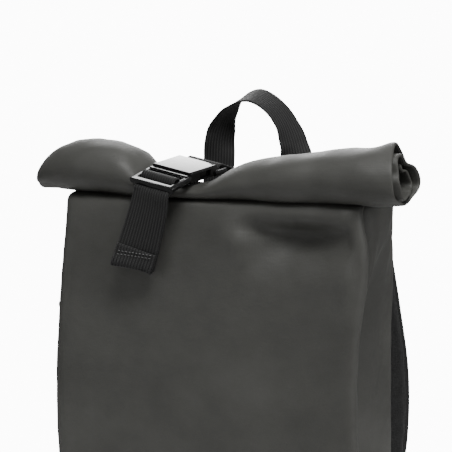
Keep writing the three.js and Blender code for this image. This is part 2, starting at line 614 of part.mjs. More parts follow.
// The bars that the webbing runs round, as places along the buckle
const BACK_BAR = SOCKET_LENGTH + SOCKET_FRAME - BAR / 2;
const PLUG_WINDOW = (PLUG_FRAME - 2 * BAR) / 2;
const MIDDLE_BAR = FRAME_RAIL + PLUG_WINDOW + BAR / 2;
const FRONT_BAR = MIDDLE_BAR + BAR + PLUG_WINDOW;

// A webbing's stations from points, all at one width.
const webbing = (points, across, width) =>
  points.map((at, i) => ({
    at,
    across: Array.isArray(across) ? across[i] : across,
    width,
    thickness: WEBBING_THICKNESS,
  }));

// Webbing that goes round a bar, seen from the side: the bar's middle, the radius and the angles of both ends.
function roundBar(place, middle, radius, from, to, steps) {
  return Array.from({ length: steps + 1 }, (_, i) => {
    const angle = degrees(lerp(from, to, i / steps));
    return place(0, middle + radius * Math.cos(angle), radius * Math.sin(angle));
  });
}

// From the yoke up over the back edge of the bag, and round the socket's bar.
function closureStrap() {
  const away = SEAM_GAP + WEBBING_THICKNESS / 2;
  const sewn = YOKE_FACE + away;
  const yokeTop = BACK_HEIGHT - 6;
  const barRadius = Math.hypot(FRAME_THICKNESS, BAR) / 2 + WEBBING_THICKNESS / 2 + 2 * SEAM_GAP;
  const onFrame = (x, y, z) => onBuckle(x, y, z + FRAME_THICKNESS / 2);
  const round = roundBar(onFrame, BACK_BAR, barRadius, ...STRAP_WRAP, 5);
  const over = round[0];
  const rest = point(swingX(BACK_Y - 8), BACK_Y - 8, lerp(BACK_HEIGHT, over.z, 0.3) + away);
  const points = [
    point(0, sewn, yokeTop - YOKE_HEIGHT * 0.62),
    point(0, sewn, yokeTop - YOKE_HEIGHT * 0.3),
    point(0, sewn, yokeTop),
    point(swingX(BACK_Y + 1.5), BACK_Y + 1.5, BACK_HEIGHT + 4 + away),
    rest,
    point(lerp(rest.x, over.x, 0.5), lerp(rest.y, over.y, 0.5), lerp(rest.z, over.z, 0.5) + 0.5),
    ...round,
  ];
  const flat = point(1, 0, 0);
  const across = points.map((_, i) => flat.clone().lerp(acrossBuckle, clamp((i - 2) / 4, 0, 1)).normalize());
  return band(webbing(points, across, CLOSURE_WEBBING));
}

// One length of webbing: sewn to the front panel, up behind the tail, round the plug's bars and down again as the tail.
function closureTail() {
  const t = WEBBING_THICKNESS;
  const radius = Math.hypot(FRAME_THICKNESS, BAR) / 2 + t / 2 + 2 * SEAM_GAP;
  const frontOf = (x, z) => wallPoint({ face: -1, panel: clamp(x / (FRONT_WIDTH / 2 - CORNER_ROUND), -1, 1) }, rowAt(z)).y;
  const top = onPlug(0, FRONT_BAR, 0);
  const end = point(top.x - 18, 0, top.z - TAIL_DROP);
  const layerGap = t + 0.7;
  const flat = point(Math.cos(degrees(12)), Math.sin(degrees(12)), -0.1);
  const acrossAt = (share) => acrossBuckle.clone().lerp(flat, share).normalize();
  const hang = (share, layer) => {
    const z = lerp(top.z - 6, end.z, share);
    const x = lerp(top.x, end.x, share ** 1.2);
    const wall = Math.min(frontOf(x, z), frontOf(x - CLOSURE_WEBBING / 2, z), frontOf(x + CLOSURE_WEBBING / 2, z));
    const clear = CLOTH / 2 + SEAM_GAP + t / 2 + 2.5 + (CLOSURE_WEBBING / 2) * Math.abs(Math.sin(acrossAt(share).y));
    const hung = Math.min(lerp(top.y + 2, wall - clear, clamp(share * 1.6, 0, 1)), ROLL_FRONT - CLOTH - 6);
    return point(x, hung - layer * layerGap, z);
  };
  const shares = [0, 0.2, 0.45, 0.72, 1];
  const up = shares.map((share) => hang(share, 0)).reverse();
  const down = shares.map((share) => hang(share, 1));
  const bar = roundBar(onPlug, MIDDLE_BAR, radius, ...TAIL_WRAP, 9).reverse();
  const below = -FRAME_THICKNESS / 2 - SEAM_GAP - t / 2;
  const under = [onPlug(0, FRONT_BAR - BAR / 2, below - layerGap)];
  const points = [...up, ...under, ...bar, onPlug(0, FRONT_BAR - BAR, below), ...down];
  const turned = points.map((p) => acrossAt(clamp((top.z - 6 - p.z) / (TAIL_DROP - 6), 0, 1)));
  return band(webbing(points, turned, CLOSURE_WEBBING));
}

// A row of the sack between the rows of its table, on the straight line between them.
function rowAt(z) {
  const height = z / FRONT_HEIGHT;
  const above = clamp(SACK_ROWS.findIndex((row) => row.height > height), 1, SACK_ROWS.length - 1);
  const [low, high] = [SACK_ROWS[above - 1], SACK_ROWS[above]];
  const share = (height - low.height) / (high.height - low.height);
  const value = (key) => lerp(low[key], high[key], share);
  return { height, front: value("front"), width: value("width"), crease: value("crease"), sway: value("sway") };
}

function carryHandle() {
  const foot = BACK_HEIGHT - 8;
  const sewn = YOKE_FACE + SEAM_GAP + WEBBING_THICKNESS / 2;
  const station = ({ x, z, y, turn, tip }) => ({
    at: point(x * HANDLE_SPREAD, sewn + y * HANDLE_WEBBING, foot + z * HANDLE_RISE),
    across: point(Math.cos(degrees(turn)), Math.sin(degrees(turn)) * Math.cos(degrees(tip)), Math.sin(degrees(tip))),
  });
  const arch = HANDLE_ARCH.map(station);
  const places = new THREE.CatmullRomCurve3(arch.map((s) => s.at), false, "centripetal");
  const turns = new THREE.CatmullRomCurve3(arch.map((s) => s.across), false, "catmullrom");
  const steps = 2 * (arch.length - 1);
  const stations = [];
  for (let i = 0; i <= steps; i++) {
    stations.push({ at: places.getPoint(i / steps), across: turns.getPoint(i / steps) });
  }
  const feet = [stations[0], stations[steps]].map(({ at, across }) => ({ at: at.clone().setZ(foot - HANDLE_FOOT), across }));
  const all = [feet[0], ...stations, feet[1]];
  return band(all.map(({ at, across }) => ({ at, across, width: HANDLE_WEBBING, thickness: WEBBING_THICKNESS })));
}

// The middle of a shoulder strap and the direction across it, with hand -1 on the left and 1 on the right.
function strapStations(hand) {
  const sewnZ = BACK_HEIGHT - YOKE_HEIGHT * 0.72;
  const sewnY = YOKE_FACE + SEAM_GAP + STRAP_THICKNESS / 2;
  const rough = STRAP_CURVE.map(({ down, out, off, turn }) => ({
    at: point(
      hand * lerp(STRAP_INSET, STRAP_SPREAD, out),
      sewnY + off * (STRAP_STAND_OFF - STRAP_THICKNESS / 2),
      sewnZ - down * STRAP_DROP,
    ),
    across: point(Math.cos(degrees(turn)), -hand * Math.sin(degrees(turn)), 0),
  }));
  const places = new THREE.CatmullRomCurve3(rough.map((s) => s.at), false, "centripetal");
  const steps = 2 * (rough.length - 1);
  return Array.from({ length: steps + 1 }, (_, i) => {
    const row = i / 2;
    const [a, b] = [Math.floor(row), Math.ceil(row)];
    return {
      at: places.getPoint(i / steps),
      across: rough[a].across.clone().lerp(rough[b].across, row - a),
      width: STRAP_WIDTH * lerp(STRAP_CURVE[a].width, STRAP_CURVE[b].width, row - a),
      thickness: STRAP_THICKNESS,
    };
  });
}

const shoulderStrap = (hand) => band(strapStations(hand), true);

// The adjuster hangs from the padding's lower end, and the webbing runs from it down to the lower anchor.
function lowerStrap(hand) {
  const end = strapStations(hand).at(-1).at;
  const anchorX = hand * (BACK_WIDTH / 2 - STRAP_WEBBING / 2 - 3);
  const adjusterTop = point(end.x, end.y, end.z - 5 * SEAM_GAP);
  const adjusterFoot = adjusterTop.clone().add(point(0, 0, -ADJUSTER_LENGTH));
  const anchor = point(anchorX, BACK_Y + SEAM_GAP + WEBBING_THICKNESS / 2, ANCHOR_HEIGHT);
  return { adjusterTop, adjusterFoot, anchor };
}

function strapAdjuster(hand) {
  const { adjusterTop } = lowerStrap(hand);
  const width = STRAP_WEBBING + 2 * 3.5;
  const body = box(width, 5, ADJUSTER_LENGTH, 0, 0, -ADJUSTER_LENGTH / 2);
  const slots = [0.3, 0.66].map((share) => box(STRAP_WEBBING + 1, 8, 5, 0, 0, -ADJUSTER_LENGTH * share));
  return asGeometry(
    body.subtract(slots[0]).subtract(slots[1]).translate([adjusterTop.x, adjusterTop.y, adjusterTop.z]),
  );
}

function strapWebbing(hand) {
  const { adjusterFoot, anchor } = lowerStrap(hand);
  const top = adjusterFoot.clone().add(point(0, 0, -SEAM_GAP));
  const low = anchor.clone().add(point(0, 0, 22));
  const curve = new THREE.CubicBezierCurve3(
    top,
    top.clone().add(point(0, 2, -WEBBING_SAG)),
    low.clone().add(point(-hand * 4, 22, 26)),
    low,
  );
  const points = [...curve.getPoints(8), anchor, anchor.clone().add(point(0, 0, -14))];
  return band(webbing(points, point(1, 0, 0), STRAP_WEBBING));
}

// The zip on the left side, between the front corner and the fold in the middle of the side.
const ZIP_SIDE = 0.38;
function zipPlace(z, outwards, sideways = 0) {
  const line = { face: -1, hand: -1, side: ZIP_SIDE };
  const at = wallPoint(line, rowAt(z));
  const ahead = wallPoint({ ...line, side: ZIP_SIDE - 0.2 }, rowAt(z));
  const above = wallPoint(line, rowAt(z + 4));
  const across = at.clone().sub(ahead).normalize();
  const up = above.sub(at).normalize();
  const normal = up.clone().cross(across).normalize();
  if (normal.x > 0) normal.negate();
  return { at: at.addScaledVector(normal, CLOTH / 2 + outwards).addScaledVector(across, sideways), across, up, normal };
}

function zipStrip(width, thickness, above) {
  const heights = [ZIP_TOP];
  for (const row of [...SACK_ROWS].reverse()) {
    const z = row.height * FRONT_HEIGHT;
    if (z < ZIP_TOP - 4 && z > ZIP_TOP - ZIP_LENGTH + 4) heights.push(z);
  }
  heights.push(ZIP_TOP - ZIP_LENGTH);
  return band(
    heights.map((z) => {
      const { at, across } = zipPlace(z, above + thickness / 2);
      return { at, across, width, thickness };
    }),
  );
}

const CHAIN_THICKNESS = 1.6;
const TAPE_LIFT = 1.2; // over the straight lines of the side, which is slightly twisted
const CHAIN_LIFT = 0.8;
const ON_TAPE = TAPE_LIFT + ZIP_TAPE_THICKNESS;
const ON_CHAIN = ON_TAPE + CHAIN_LIFT + CHAIN_THICKNESS;

// The frame of the slider: +X across the zip, +Y out from the bag, +Z up the zip.
function onZip(z) {
  const { at, across, up, normal } = zipPlace(z, ON_CHAIN + SEAM_GAP);
  const side = normal.clone().cross(up).normalize();
  const matrix = new THREE.Matrix4().makeBasis(side, normal, up.clone());
  return matrix.setPosition(at);
}
const SLIDER_Z = ZIP_TOP - SLIDER_LENGTH / 2 - 2;
const EYE = RING_WIRE + 1.4; // height of the slider's bridge above its body
const SLIDER_BODY = 2.4;

const BRIDGE = 2.2;
function zipSlider() {
  const body = slab(SLIDER_WIDTH, SLIDER_LENGTH, SLIDER_BODY, 0, 0, SLIDER_BODY / 2);
  const bridgeHeight = SLIDER_BODY + EYE + 1.1;
  const bridge = box(EYE + 2.4, BRIDGE, bridgeHeight, 0, 0, bridgeHeight / 2);
  const eye = box(EYE, BRIDGE * 2, EYE, 0, 0, SLIDER_BODY + EYE / 2);
  const made = body.add(bridge.subtract(eye));
  return asGeometry(made).rotateX(-Math.PI / 2);
}

// The ring goes through the slider's eye and stands out from the bag, and the pull hangs from its lowest point.
function zipRing() {
  return mergeVertices(bare(new THREE.TorusGeometry(RING_RADIUS, RING_WIRE / 2, 6, 16).rotateY(Math.PI / 2)), 1e-4);
}

const PULL_HOLE = RING_WIRE / 2 + 0.55;
function zipPull() {
  const shape = new THREE.Shape();
  const r = PULL_WIDTH / 2;
  shape.absarc(0, 0, r, 0, Math.PI);
  shape.absarc(0, 2 * r - PULL_LENGTH, r, Math.PI, 2 * Math.PI);
  const hole = new THREE.Path();
  hole.absarc(0, 0, PULL_HOLE, 0, 2 * Math.PI, true);
  shape.holes.push(hole);
  const made = new THREE.ExtrudeGeometry(shape, { depth: PULL_THICKNESS, bevelEnabled: false, curveSegments: 6 });
  return mergeVertices(bare(made.rotateX(Math.PI / 2).translate(0, PULL_THICKNESS / 2, 0)), 1e-4);
}

const COATED_CLOTH = { color: 0x4a4a47, roughness: 0.62, metalness: 0 };
const BLACK_WEBBING = { color: 0x2a2a2b, roughness: 0.7, metalness: 0 };
const BLACK_PLASTIC = { color: 0x1c1c1e, roughness: 0.35, metalness: 0 };
const BLACK_PADDING = { color: 0x242423, roughness: 0.85, metalness: 0 };
const BLACK_METAL = { color: 0x161615, roughness: 0.4, metalness: 0.8 };

const backpack = new THREE.Group();
function add(name, geometry, finish, parent = backpack) {
  const mesh = new THREE.Mesh(geometry, new THREE.MeshStandardMaterial(finish));
  mesh.name = name;
  parent.add(mesh);
  return mesh;
}

add("main_sack", mainSack(), COATED_CLOTH);
add("rolled_collar", rolledCollar(), COATED_CLOTH);

add("back_pad", plate(PAD_WIDTH, PAD_HEIGHT, PAD_THICKNESS, 26, PAD_CROWN), BLACK_PADDING).position.set(
  0,
  BACK_Y + SEAM_GAP,
  PAD_ABOVE_FLOOR + PAD_HEIGHT / 2,
);
add("back_yoke", plate(YOKE_WIDTH, YOKE_HEIGHT, YOKE_THICKNESS, 8), BLACK_PADDING).position.set(
  0,
  BACK_Y + SEAM_GAP,
  BACK_HEIGHT - 6 - YOKE_HEIGHT / 2,
);
add("carry_handle", carryHandle(), BLACK_WEBBING);

for (const [side, hand] of [["left", -1], ["right", 1]]) {
  add("shoulder_strap_" + side, shoulderStrap(hand), BLACK_PADDING);
  add("strap_adjuster_" + side, strapAdjuster(hand), BLACK_PLASTIC);
  add("strap_webbing_" + side, strapWebbing(hand), BLACK_WEBBING);
}

add("closure_strap", closureStrap(), BLACK_WEBBING);
add("closure_tail", closureTail(), BLACK_WEBBING);
add("buckle_socket", buckleSocket(), BLACK_PLASTIC, BUCKLE_FRAME);
add("buckle_plug", bucklePlug(), BLACK_PLASTIC, BUCKLE_FRAME);
backpack.add(BUCKLE_FRAME);

add("zip_tape", zipStrip(ZIP_TAPE, ZIP_TAPE_THICKNESS, TAPE_LIFT), BLACK_WEBBING);
add("zip_chain", zipStrip(ZIP_CHAIN, CHAIN_THICKNESS, ON_TAPE + CHAIN_LIFT), BLACK_PLASTIC);
const zipFrame = new THREE.Group();
zipFrame.applyMatrix4(onZip(SLIDER_Z));
zipFrame.updateMatrixWorld(true);
add("zip_slider", zipSlider(), BLACK_METAL, zipFrame);
const ringFrame = new THREE.Group();
ringFrame.position.copy(point(0, SLIDER_BODY + EYE / 2, 0).applyMatrix4(zipFrame.matrixWorld));
ringFrame.position.x -= RING_RADIUS;
ringFrame.rotation.z = Math.PI / 2;
add("zip_ring", zipRing(), BLACK_METAL, ringFrame);
add("zip_pull", zipPull(), BLACK_METAL, ringFrame).position.z = -RING_RADIUS;
backpack.add(zipFrame, ringFrame);

export default backpack;
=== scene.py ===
import json
import logging
import math
from dataclasses import dataclass
from enum import Enum
from typing import Any, Callable, Iterable, Sequence

import bmesh
import bpy
from mathutils import Matrix, Vector, noise
from mathutils.bvhtree import BVHTree

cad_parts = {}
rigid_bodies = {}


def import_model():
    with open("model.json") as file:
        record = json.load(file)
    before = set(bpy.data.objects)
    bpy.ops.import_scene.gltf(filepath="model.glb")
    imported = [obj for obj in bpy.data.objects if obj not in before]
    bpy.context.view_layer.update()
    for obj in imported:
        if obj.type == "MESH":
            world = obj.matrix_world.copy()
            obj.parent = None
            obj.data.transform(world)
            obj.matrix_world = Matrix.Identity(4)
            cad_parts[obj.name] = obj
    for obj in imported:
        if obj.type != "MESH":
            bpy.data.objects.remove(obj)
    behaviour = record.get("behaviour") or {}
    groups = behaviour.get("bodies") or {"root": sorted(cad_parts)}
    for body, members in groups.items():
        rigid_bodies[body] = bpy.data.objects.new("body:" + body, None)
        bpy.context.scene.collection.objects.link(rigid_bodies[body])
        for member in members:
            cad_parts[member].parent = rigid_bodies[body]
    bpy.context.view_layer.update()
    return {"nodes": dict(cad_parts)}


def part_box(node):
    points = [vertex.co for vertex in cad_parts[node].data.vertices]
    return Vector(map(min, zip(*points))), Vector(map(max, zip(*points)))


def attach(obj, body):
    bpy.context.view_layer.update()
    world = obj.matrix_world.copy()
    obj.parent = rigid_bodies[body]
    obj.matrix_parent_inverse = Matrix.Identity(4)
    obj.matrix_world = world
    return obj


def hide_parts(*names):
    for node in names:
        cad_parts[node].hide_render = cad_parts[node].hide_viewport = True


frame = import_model()

Socket = bpy.types.NodeSocket
Material = bpy.types.Material
Piece = bpy.types.Object
Mesh = bmesh.types.BMesh

LOG = logging.getLogger("backpack")
BODY = "root"
FINISH_MARK = "_finish"
UV_NAME = "weave"
WEAR_NAME = "wear"
WELD = 2e-5
TINY = 1e-9
FORWARDS = Vector((0, -1, 0))
BACKWARDS = Vector((0, 1, 0))
UPWARDS = Vector((0, 0, 1))
WHITE = (1.0, 1.0, 1.0, 1.0)
THICK_THREAD = 0.0009


def lerp(a: float, b: float, share: float) -> float:
    """Returns the value at a share of the way from a to b."""
    return a + (b - a) * share


def clamp(value: float, low: float = 0.0, high: float = 1.0) -> float:
    """Returns the value, kept between low and high."""
    return max(low, min(high, value))


def smooth(value: float, low: float, high: float) -> float:
    """Returns 0 below low and 1 above high, with a soft step between."""
    t = clamp((value - low) / (high - low))
    return t * t * (3 - 2 * t)


def bell(value: float, middle: float, wide: float) -> float:
    """Returns 1 at the middle, falling to 0 on both sides over about twice the width."""
    return math.exp(-(((value - middle) / wide) ** 2))


def eased(a: Any, b: Any, slope_a: Any, slope_b: Any, t: float) -> Any:
    """Returns the value or point at a share of a smooth curve from a to b that has those slopes at its ends."""
    t2, t3 = t * t, t * t * t
    return a * (2 * t3 - 3 * t2 + 1) + slope_a * (t3 - 2 * t2 + t) + b * (3 * t2 - 2 * t3) + slope_b * (t3 - t2)


def tone(grey: int, warm: float = 0.0) -> tuple[float, float, float, float]:
    """A near neutral colour.

    Args:
        grey: brightness from 0 to 255, as seen on a screen.
        warm: how many steps red and green stand above blue.

    Returns:
        The linear colour with its alpha.
    """
    linear = [(max(grey + lift, 0) / 255) ** 2.2 for lift in (warm / 2, warm / 2, -warm / 2)]
    return (*linear, 1.0)


def linked(name: str, data: bpy.types.ID) -> Piece:
    """Returns a new object that is in the scene."""
    made = bpy.data.objects.new(name, data)
    bpy.context.scene.collection.objects.link(made)
    return made


def aimed(name: str, data: bpy.types.ID, at: Vector, look: Vector) -> Piece:
    """Returns a new camera or light at a place, turned in a direction."""
    made = linked(name, data)
    made.location = at
    made.rotation_mode = "QUATERNION"
    made.rotation_quaternion = look.to_track_quat("-Z", "Y")
    return made


def from_bm(name: str, bm: Mesh) -> bpy.types.Mesh:
    """Returns a mesh made from a working mesh, which is freed."""
    mesh = bpy.data.meshes.new(name)
    bm.to_mesh(mesh)
    bm.free()
    return mesh


@dataclass(frozen=True)
class Profile:
    """Columns of numbers that run smoothly through their rows. The first column says where each row is."""

    columns: tuple[str, ...]
    rows: tuple[tuple[float, ...], ...]

    def at(self, column: str, place: float) -> float:
        """Reads one column between its rows.

        Args:
            column: the column's name.
            place: where to read it, in the first column's terms.

        Returns:
            The value on a smooth curve through the rows.
        """
        k = self.columns.index(column)
        last = len(self.rows) - 1
        i = next((n for n in range(last - 1) if place < self.rows[n + 1][0]), last - 1)
        a, b = self.rows[i], self.rows[i + 1]
        before, after = self.rows[max(i - 1, 0)], self.rows[min(i + 2, last)]
        step = b[0] - a[0]
        t = clamp((place - a[0]) / step)
        slope_a = (b[k] - before[k]) / (b[0] - before[0]) * step
        slope_b = (after[k] - a[k]) / (after[0] - a[0]) * step
        return eased(a[k], b[k], slope_a, slope_b, t)


class Graph:
    """Builds the nodes of one material round its main shader."""

    def __init__(self, name: str) -> None:
        """Starts a material of that name."""
        self.material = bpy.data.materials.new(name + FINISH_MARK)
        self.material.use_nodes = True
        self.tree = self.material.node_tree
        self.shader = self.tree.nodes["Principled BSDF"]

    def node(self, kind: str, inputs: dict | None = None, **settings: object) -> bpy.types.Node:
        """Adds a node.

        Args:
            kind: the node's type.
            inputs: a value or another node's output for each named or numbered input.
            settings: the node's own settings.

        Returns:
            The node.
        """
        made = self.tree.nodes.new(kind)
        for key, value in settings.items():
            setattr(made, key, value)
        for key, value in (inputs or {}).items():
            self.feed(made.inputs[key], value)
        return made

    def feed(self, socket: Socket, value: object) -> None:
        """Sets an input to a value, or links another node's output to it."""
        if isinstance(value, Socket):
            self.tree.links.new(value, socket)
        else:
            socket.default_value = value

    def shade(self, **values: object) -> None:
        """Sets the main shader's inputs, given with _ for each space in their names."""
        for key, value in values.items():
            self.feed(self.shader.inputs[key.replace("_", " ")], value)

    def places(self) -> Socket:
        """Returns the places on the piece, in metres."""
        return self.node("ShaderNodeTexCoord").outputs["Object"]

    def cloth_places(self) -> Socket:
        """Returns the places along and across the cloth, in metres."""
        return self.node("ShaderNodeUVMap", uv_map=UV_NAME).outputs["UV"]

    def scaled(self, places: Socket, scale: tuple[float, float, float]) -> Socket:
        """Returns the places, stretched by a scale on each axis."""
        return self.node("ShaderNodeMapping", {"Vector": places, "Scale": scale}).outputs["Vector"]

    def clouds(self, places: Socket, scale: float, detail: float = 2.0) -> Socket:
        """Returns soft noise from 0 to 1 at a scale, in clouds per metre."""
        inputs = {"Vector": places, "Scale": scale, "Detail": detail}
        return self.node("ShaderNodeTexNoise", inputs).outputs["Fac"]

    def math(self, operation: str, a: object, b: object = 0.0) -> Socket:
        """Returns the result of one sum on two values or outputs."""
        return self.node("ShaderNodeMath", {0: a, 1: b}, operation=operation).outputs[0]

    def spread(self, value: object, ends: tuple[float, float], to: tuple[float, float]) -> Socket:
        """Returns the value, stretched from one pair of ends to another and kept between them."""
        inputs = {"Value": value, "From Min": ends[0], "From Max": ends[1], "To Min": to[0], "To Max": to[1]}
        return self.node("ShaderNodeMapRange", inputs).outputs["Result"]

    def patches(
        self, places: Socket, scale: float, detail: float, ends: tuple[float, float], to: tuple[float, float]
    ) -> Socket:
        """Returns soft noise at a scale, stretched from one pair of ends to another."""
        return self.spread(self.clouds(places, scale, detail), ends, to)

    def mix(self, share: object, a: object, b: object) -> Socket:
        """Returns a colour between two."""
        made = self.node("ShaderNodeMix", data_type="RGBA")
        self.feed(made.inputs[0], share)
        self.feed(made.inputs[6], a)
        self.feed(made.inputs[7], b)
        return made.outputs[2]

    def bump(self, height: Socket, depth: float, below: object = None) -> Socket:
        """A fine relief.

        Args:
            height: the relief from 0 to 1.
            depth: its depth in metres.
            below: the relief that this one lies on.

        Returns:
            The normals.
        """
        made = self.node("ShaderNodeBump", {"Height": height, "Distance": depth, "Strength": 1.0})
        if below is not None:
            self.feed(made.inputs["Normal"], below)
        return made.outputs["Normal"]

    def wave(self, value: object, pitch: float, shift: object = 0.0) -> Socket:
        """Returns a wave from 0 to 1 that repeats at a pitch in metres."""
        turned = self.math("ADD", self.math("MULTIPLY", value, 2 * math.pi / pitch), shift)
        return self.spread(self.math("SINE", turned), (-1.0, 1.0), (0.0, 1.0))


@dataclass(frozen=True)
class CoatedCloth:
    """Matt cloth with a rubbery coating."""

    name: str = "coated_cloth"
    dark: int = 54
    light: int = 65
    roughness: float = 0.57
    thread: float = 0.0011

    def material(self) -> Material:
        """Returns the finish."""
        g = Graph(self.name)
        places, cloth = g.places(), g.cloth_places()
        clouds = g.clouds(places, 14.0, 4.0)
        grain = g.clouds(places, 1400.0, 2.0)
        worn = g.node("ShaderNodeAttribute", attribute_name=WEAR_NAME).outputs["Fac"]
        rubbed = g.math("MULTIPLY", worn, g.patches(places, 160.0, 5.0, (0.42, 0.62), (0.15, 0.6)))
        colour = g.mix(g.spread(clouds, (0.35, 0.65), (0.0, 1.0)), tone(self.dark, 3), tone(self.light, 3))
        colour = g.mix(g.spread(grain, (0.3, 0.7), (0.0, 0.15)), colour, tone(self.light + 20, 4))
        colour = g.mix(g.math("MULTIPLY", rubbed, 0.12), colour, tone(self.light + 30, 5))
        across = g.node("ShaderNodeSeparateXYZ", {"Vector": cloth})
        weft = g.wave(across.outputs["X"], self.thread)
        warp = g.wave(across.outputs["Y"], self.thread)
        weave = g.math("MULTIPLY", weft, warp)
        creases = g.clouds(g.scaled(places, (1.0, 1.0, 1.6)), 75.0, 5.0)
        normal = g.bump(creases, 0.0003)
        normal = g.bump(g.clouds(places, 420.0, 3.0), 0.00005, normal)
        normal = g.bump(weave, 0.00004, normal)
        gloss = g.patches(places, 60.0, 4.0, (0.3, 0.7), (self.roughness - 0.05, self.roughness + 0.08))
        gloss = g.math("ADD", gloss, g.math("MULTIPLY", rubbed, 0.1))
        g.shade(Base_Color=colour, Roughness=gloss, Normal=normal, Specular_IOR_Level=0.5)
        return g.material


@dataclass(frozen=True)
class Webbing:
    """Woven polyester webbing with ribs along its length, painted darker in the grooves as shade and lighter on the rib
    tops as highlight.
    """

    name: str = "black_webbing"
    # dark is the painted shade in the weave's grooves, light the painted highlight on its rib tops.
    dark: int = 20
    light: int = 52
    rib: float = 0.0027
    pick: float = 0.0024

    def material(self) -> Material:
        """Returns the finish."""
        g = Graph(self.name)
        places, cloth = g.places(), g.cloth_places()
        split = g.node("ShaderNodeSeparateXYZ", {"Vector": cloth})
        across, length = split.outputs["X"], split.outputs["Y"]
        rib = g.wave(across, self.rib)
        odd = g.math("MULTIPLY", g.math("FLOOR", g.math("DIVIDE", across, self.rib / 2)), math.pi)
        pick = g.wave(length, self.pick, odd)
        height = g.math("ADD", g.math("MULTIPLY", rib, 0.6), g.math("MULTIPLY", pick, 0.4))
        fuzz = g.clouds(places, 1100.0, 3.0)
        # Painted shade and highlight: the colour follows the rib relief, dark in the grooves and light on the rib tops.
        colour = g.mix(g.spread(height, (0.25, 0.8), (0.0, 1.0)), tone(self.dark), tone(self.light))
        colour = g.mix(g.patches(places, 45.0, 4.0, (0.4, 0.7), (0.0, 0.2)), colour, tone(self.light - 8, 1))
        colour = g.mix(g.spread(fuzz, (0.52, 0.7), (0.0, 0.15)), colour, tone(self.light + 24))
        normal = g.bump(height, 0.0004)
        normal = g.bump(fuzz, 0.00018, normal)
        g.shade(Base_Color=colour, Roughness=g.spread(fuzz, (0.3, 0.7), (0.62, 0.8)), Normal=normal)
        g.shade(Specular_IOR_Level=0.25, Sheen_Weight=0.04, Sheen_Roughness=0.5)
        return g.material


@dataclass(frozen=True)
class MouldedPlastic:
    """Injection moulded plastic."""

    name: str
    grey: int = 22
    roughness: float = 0.24
    grain: float = 0.00005

    def material(self) -> Material:
        """Returns the finish."""
        g = Graph(self.name)
        places = g.places()
        haze = g.clouds(places, 130.0, 4.0)
        scuffs = g.clouds(g.scaled(places, (1.0, 3.5, 1.0)), 300.0, 4.0)
        colour = g.mix(haze, tone(self.grey), tone(self.grey + 8))
        colour = g.mix(g.spread(scuffs, (0.62, 0.72), (0.0, 0.25)), colour, tone(self.grey + 40))
        gloss = g.spread(haze, (0.35, 0.65), (self.roughness - 0.04, self.roughness + 0.07))
        gloss = g.math("ADD", gloss, g.spread(scuffs, (0.58, 0.72), (0.0, 0.16)))
        normal = g.bump(g.clouds(places, 2600.0, 2.0), self.grain)
        normal = g.bump(g.clouds(places, 60.0, 1.0), 0.00012, normal)
        g.shade(Base_Color=colour, Roughness=gloss, Normal=normal, Specular_IOR_Level=0.55)
        return g.material


@dataclass(frozen=True)
class PaddingCloth:
    """Knitted cloth over foam, with small open cells whose holes are painted dark as shade."""

    name: str
    # dark is the painted shade in the cells' holes; light is the knit between them.
    dark: int = 14
    light: int = 40
    cell: float = 0.0032
    depth: float = 0.0009

    def material(self) -> Material:
        """Returns the finish."""
        g = Graph(self.name)
        places = g.places()
        cells = g.node("ShaderNodeTexVoronoi", {"Vector": places, "Scale": 1 / self.cell, "Randomness": 0.25})
        cells.feature = "SMOOTH_F1"
        height = g.spread(cells.outputs["Distance"], (0.15, 0.6), (0.0, 1.0))
        fuzz = g.clouds(places, 1500.0, 3.0)
        # Painted shade: the colour follows the cells, dark in their holes where shade falls.
        colour = g.mix(height, tone(self.dark), tone(self.light))
        colour = g.mix(g.spread(fuzz, (0.5, 0.7), (0.0, 0.3)), colour, tone(self.light + 24))
        colour = g.mix(g.patches(places, 20.0, 4.0, (0.4, 0.7), (0.0, 0.25)), colour, tone(self.light + 12, 2))
        normal = g.bump(height, self.depth)
        normal = g.bump(fuzz, 0.0002, normal)
        g.shade(Base_Color=colour, Roughness=g.spread(fuzz, (0.3, 0.7), (0.78, 0.95)), Normal=normal)
        g.shade(Specular_IOR_Level=0.3, Sheen_Weight=0.2, Sheen_Roughness=0.6)
        return g.material


@dataclass(frozen=True)
class CoatedMetal:
    """Cast metal with a black coating that is rubbed where it is touched."""

    name: str = "black_metal"

    def material(self) -> Material:
        """Returns the finish."""
        g = Graph(self.name)
        places = g.places()
        rubbed = g.patches(places, 420.0, 5.0, (0.5, 0.72), (0.0, 1.0))
        colour = g.mix(g.math("MULTIPLY", rubbed, 0.5), tone(30, 2), tone(92, 6))
        g.shade(Base_Color=colour, Metallic=0.7, Normal=g.bump(g.clouds(places, 1500.0, 3.0), 0.00006))
        g.shade(Roughness=g.spread(rubbed, (0.0, 1.0), (0.42, 0.3)))
        return g.material


@dataclass(frozen=True)
class Thread:
    """Bonded sewing thread."""

    name: str = "sewing_thread"
    grey: int = 92

    def material(self) -> Material:
        """Returns the finish."""
        g = Graph(self.name)
        places = g.places()
        twist = g.clouds(places, 2400.0, 2.0)
        colour = g.mix(twist, tone(self.grey - 12), tone(self.grey + 18))
        g.shade(Base_Color=colour, Normal=g.bump(twist, 0.0002), Roughness=g.spread(twist, (0.3, 0.7), (0.45, 0.65)))
        return g.material


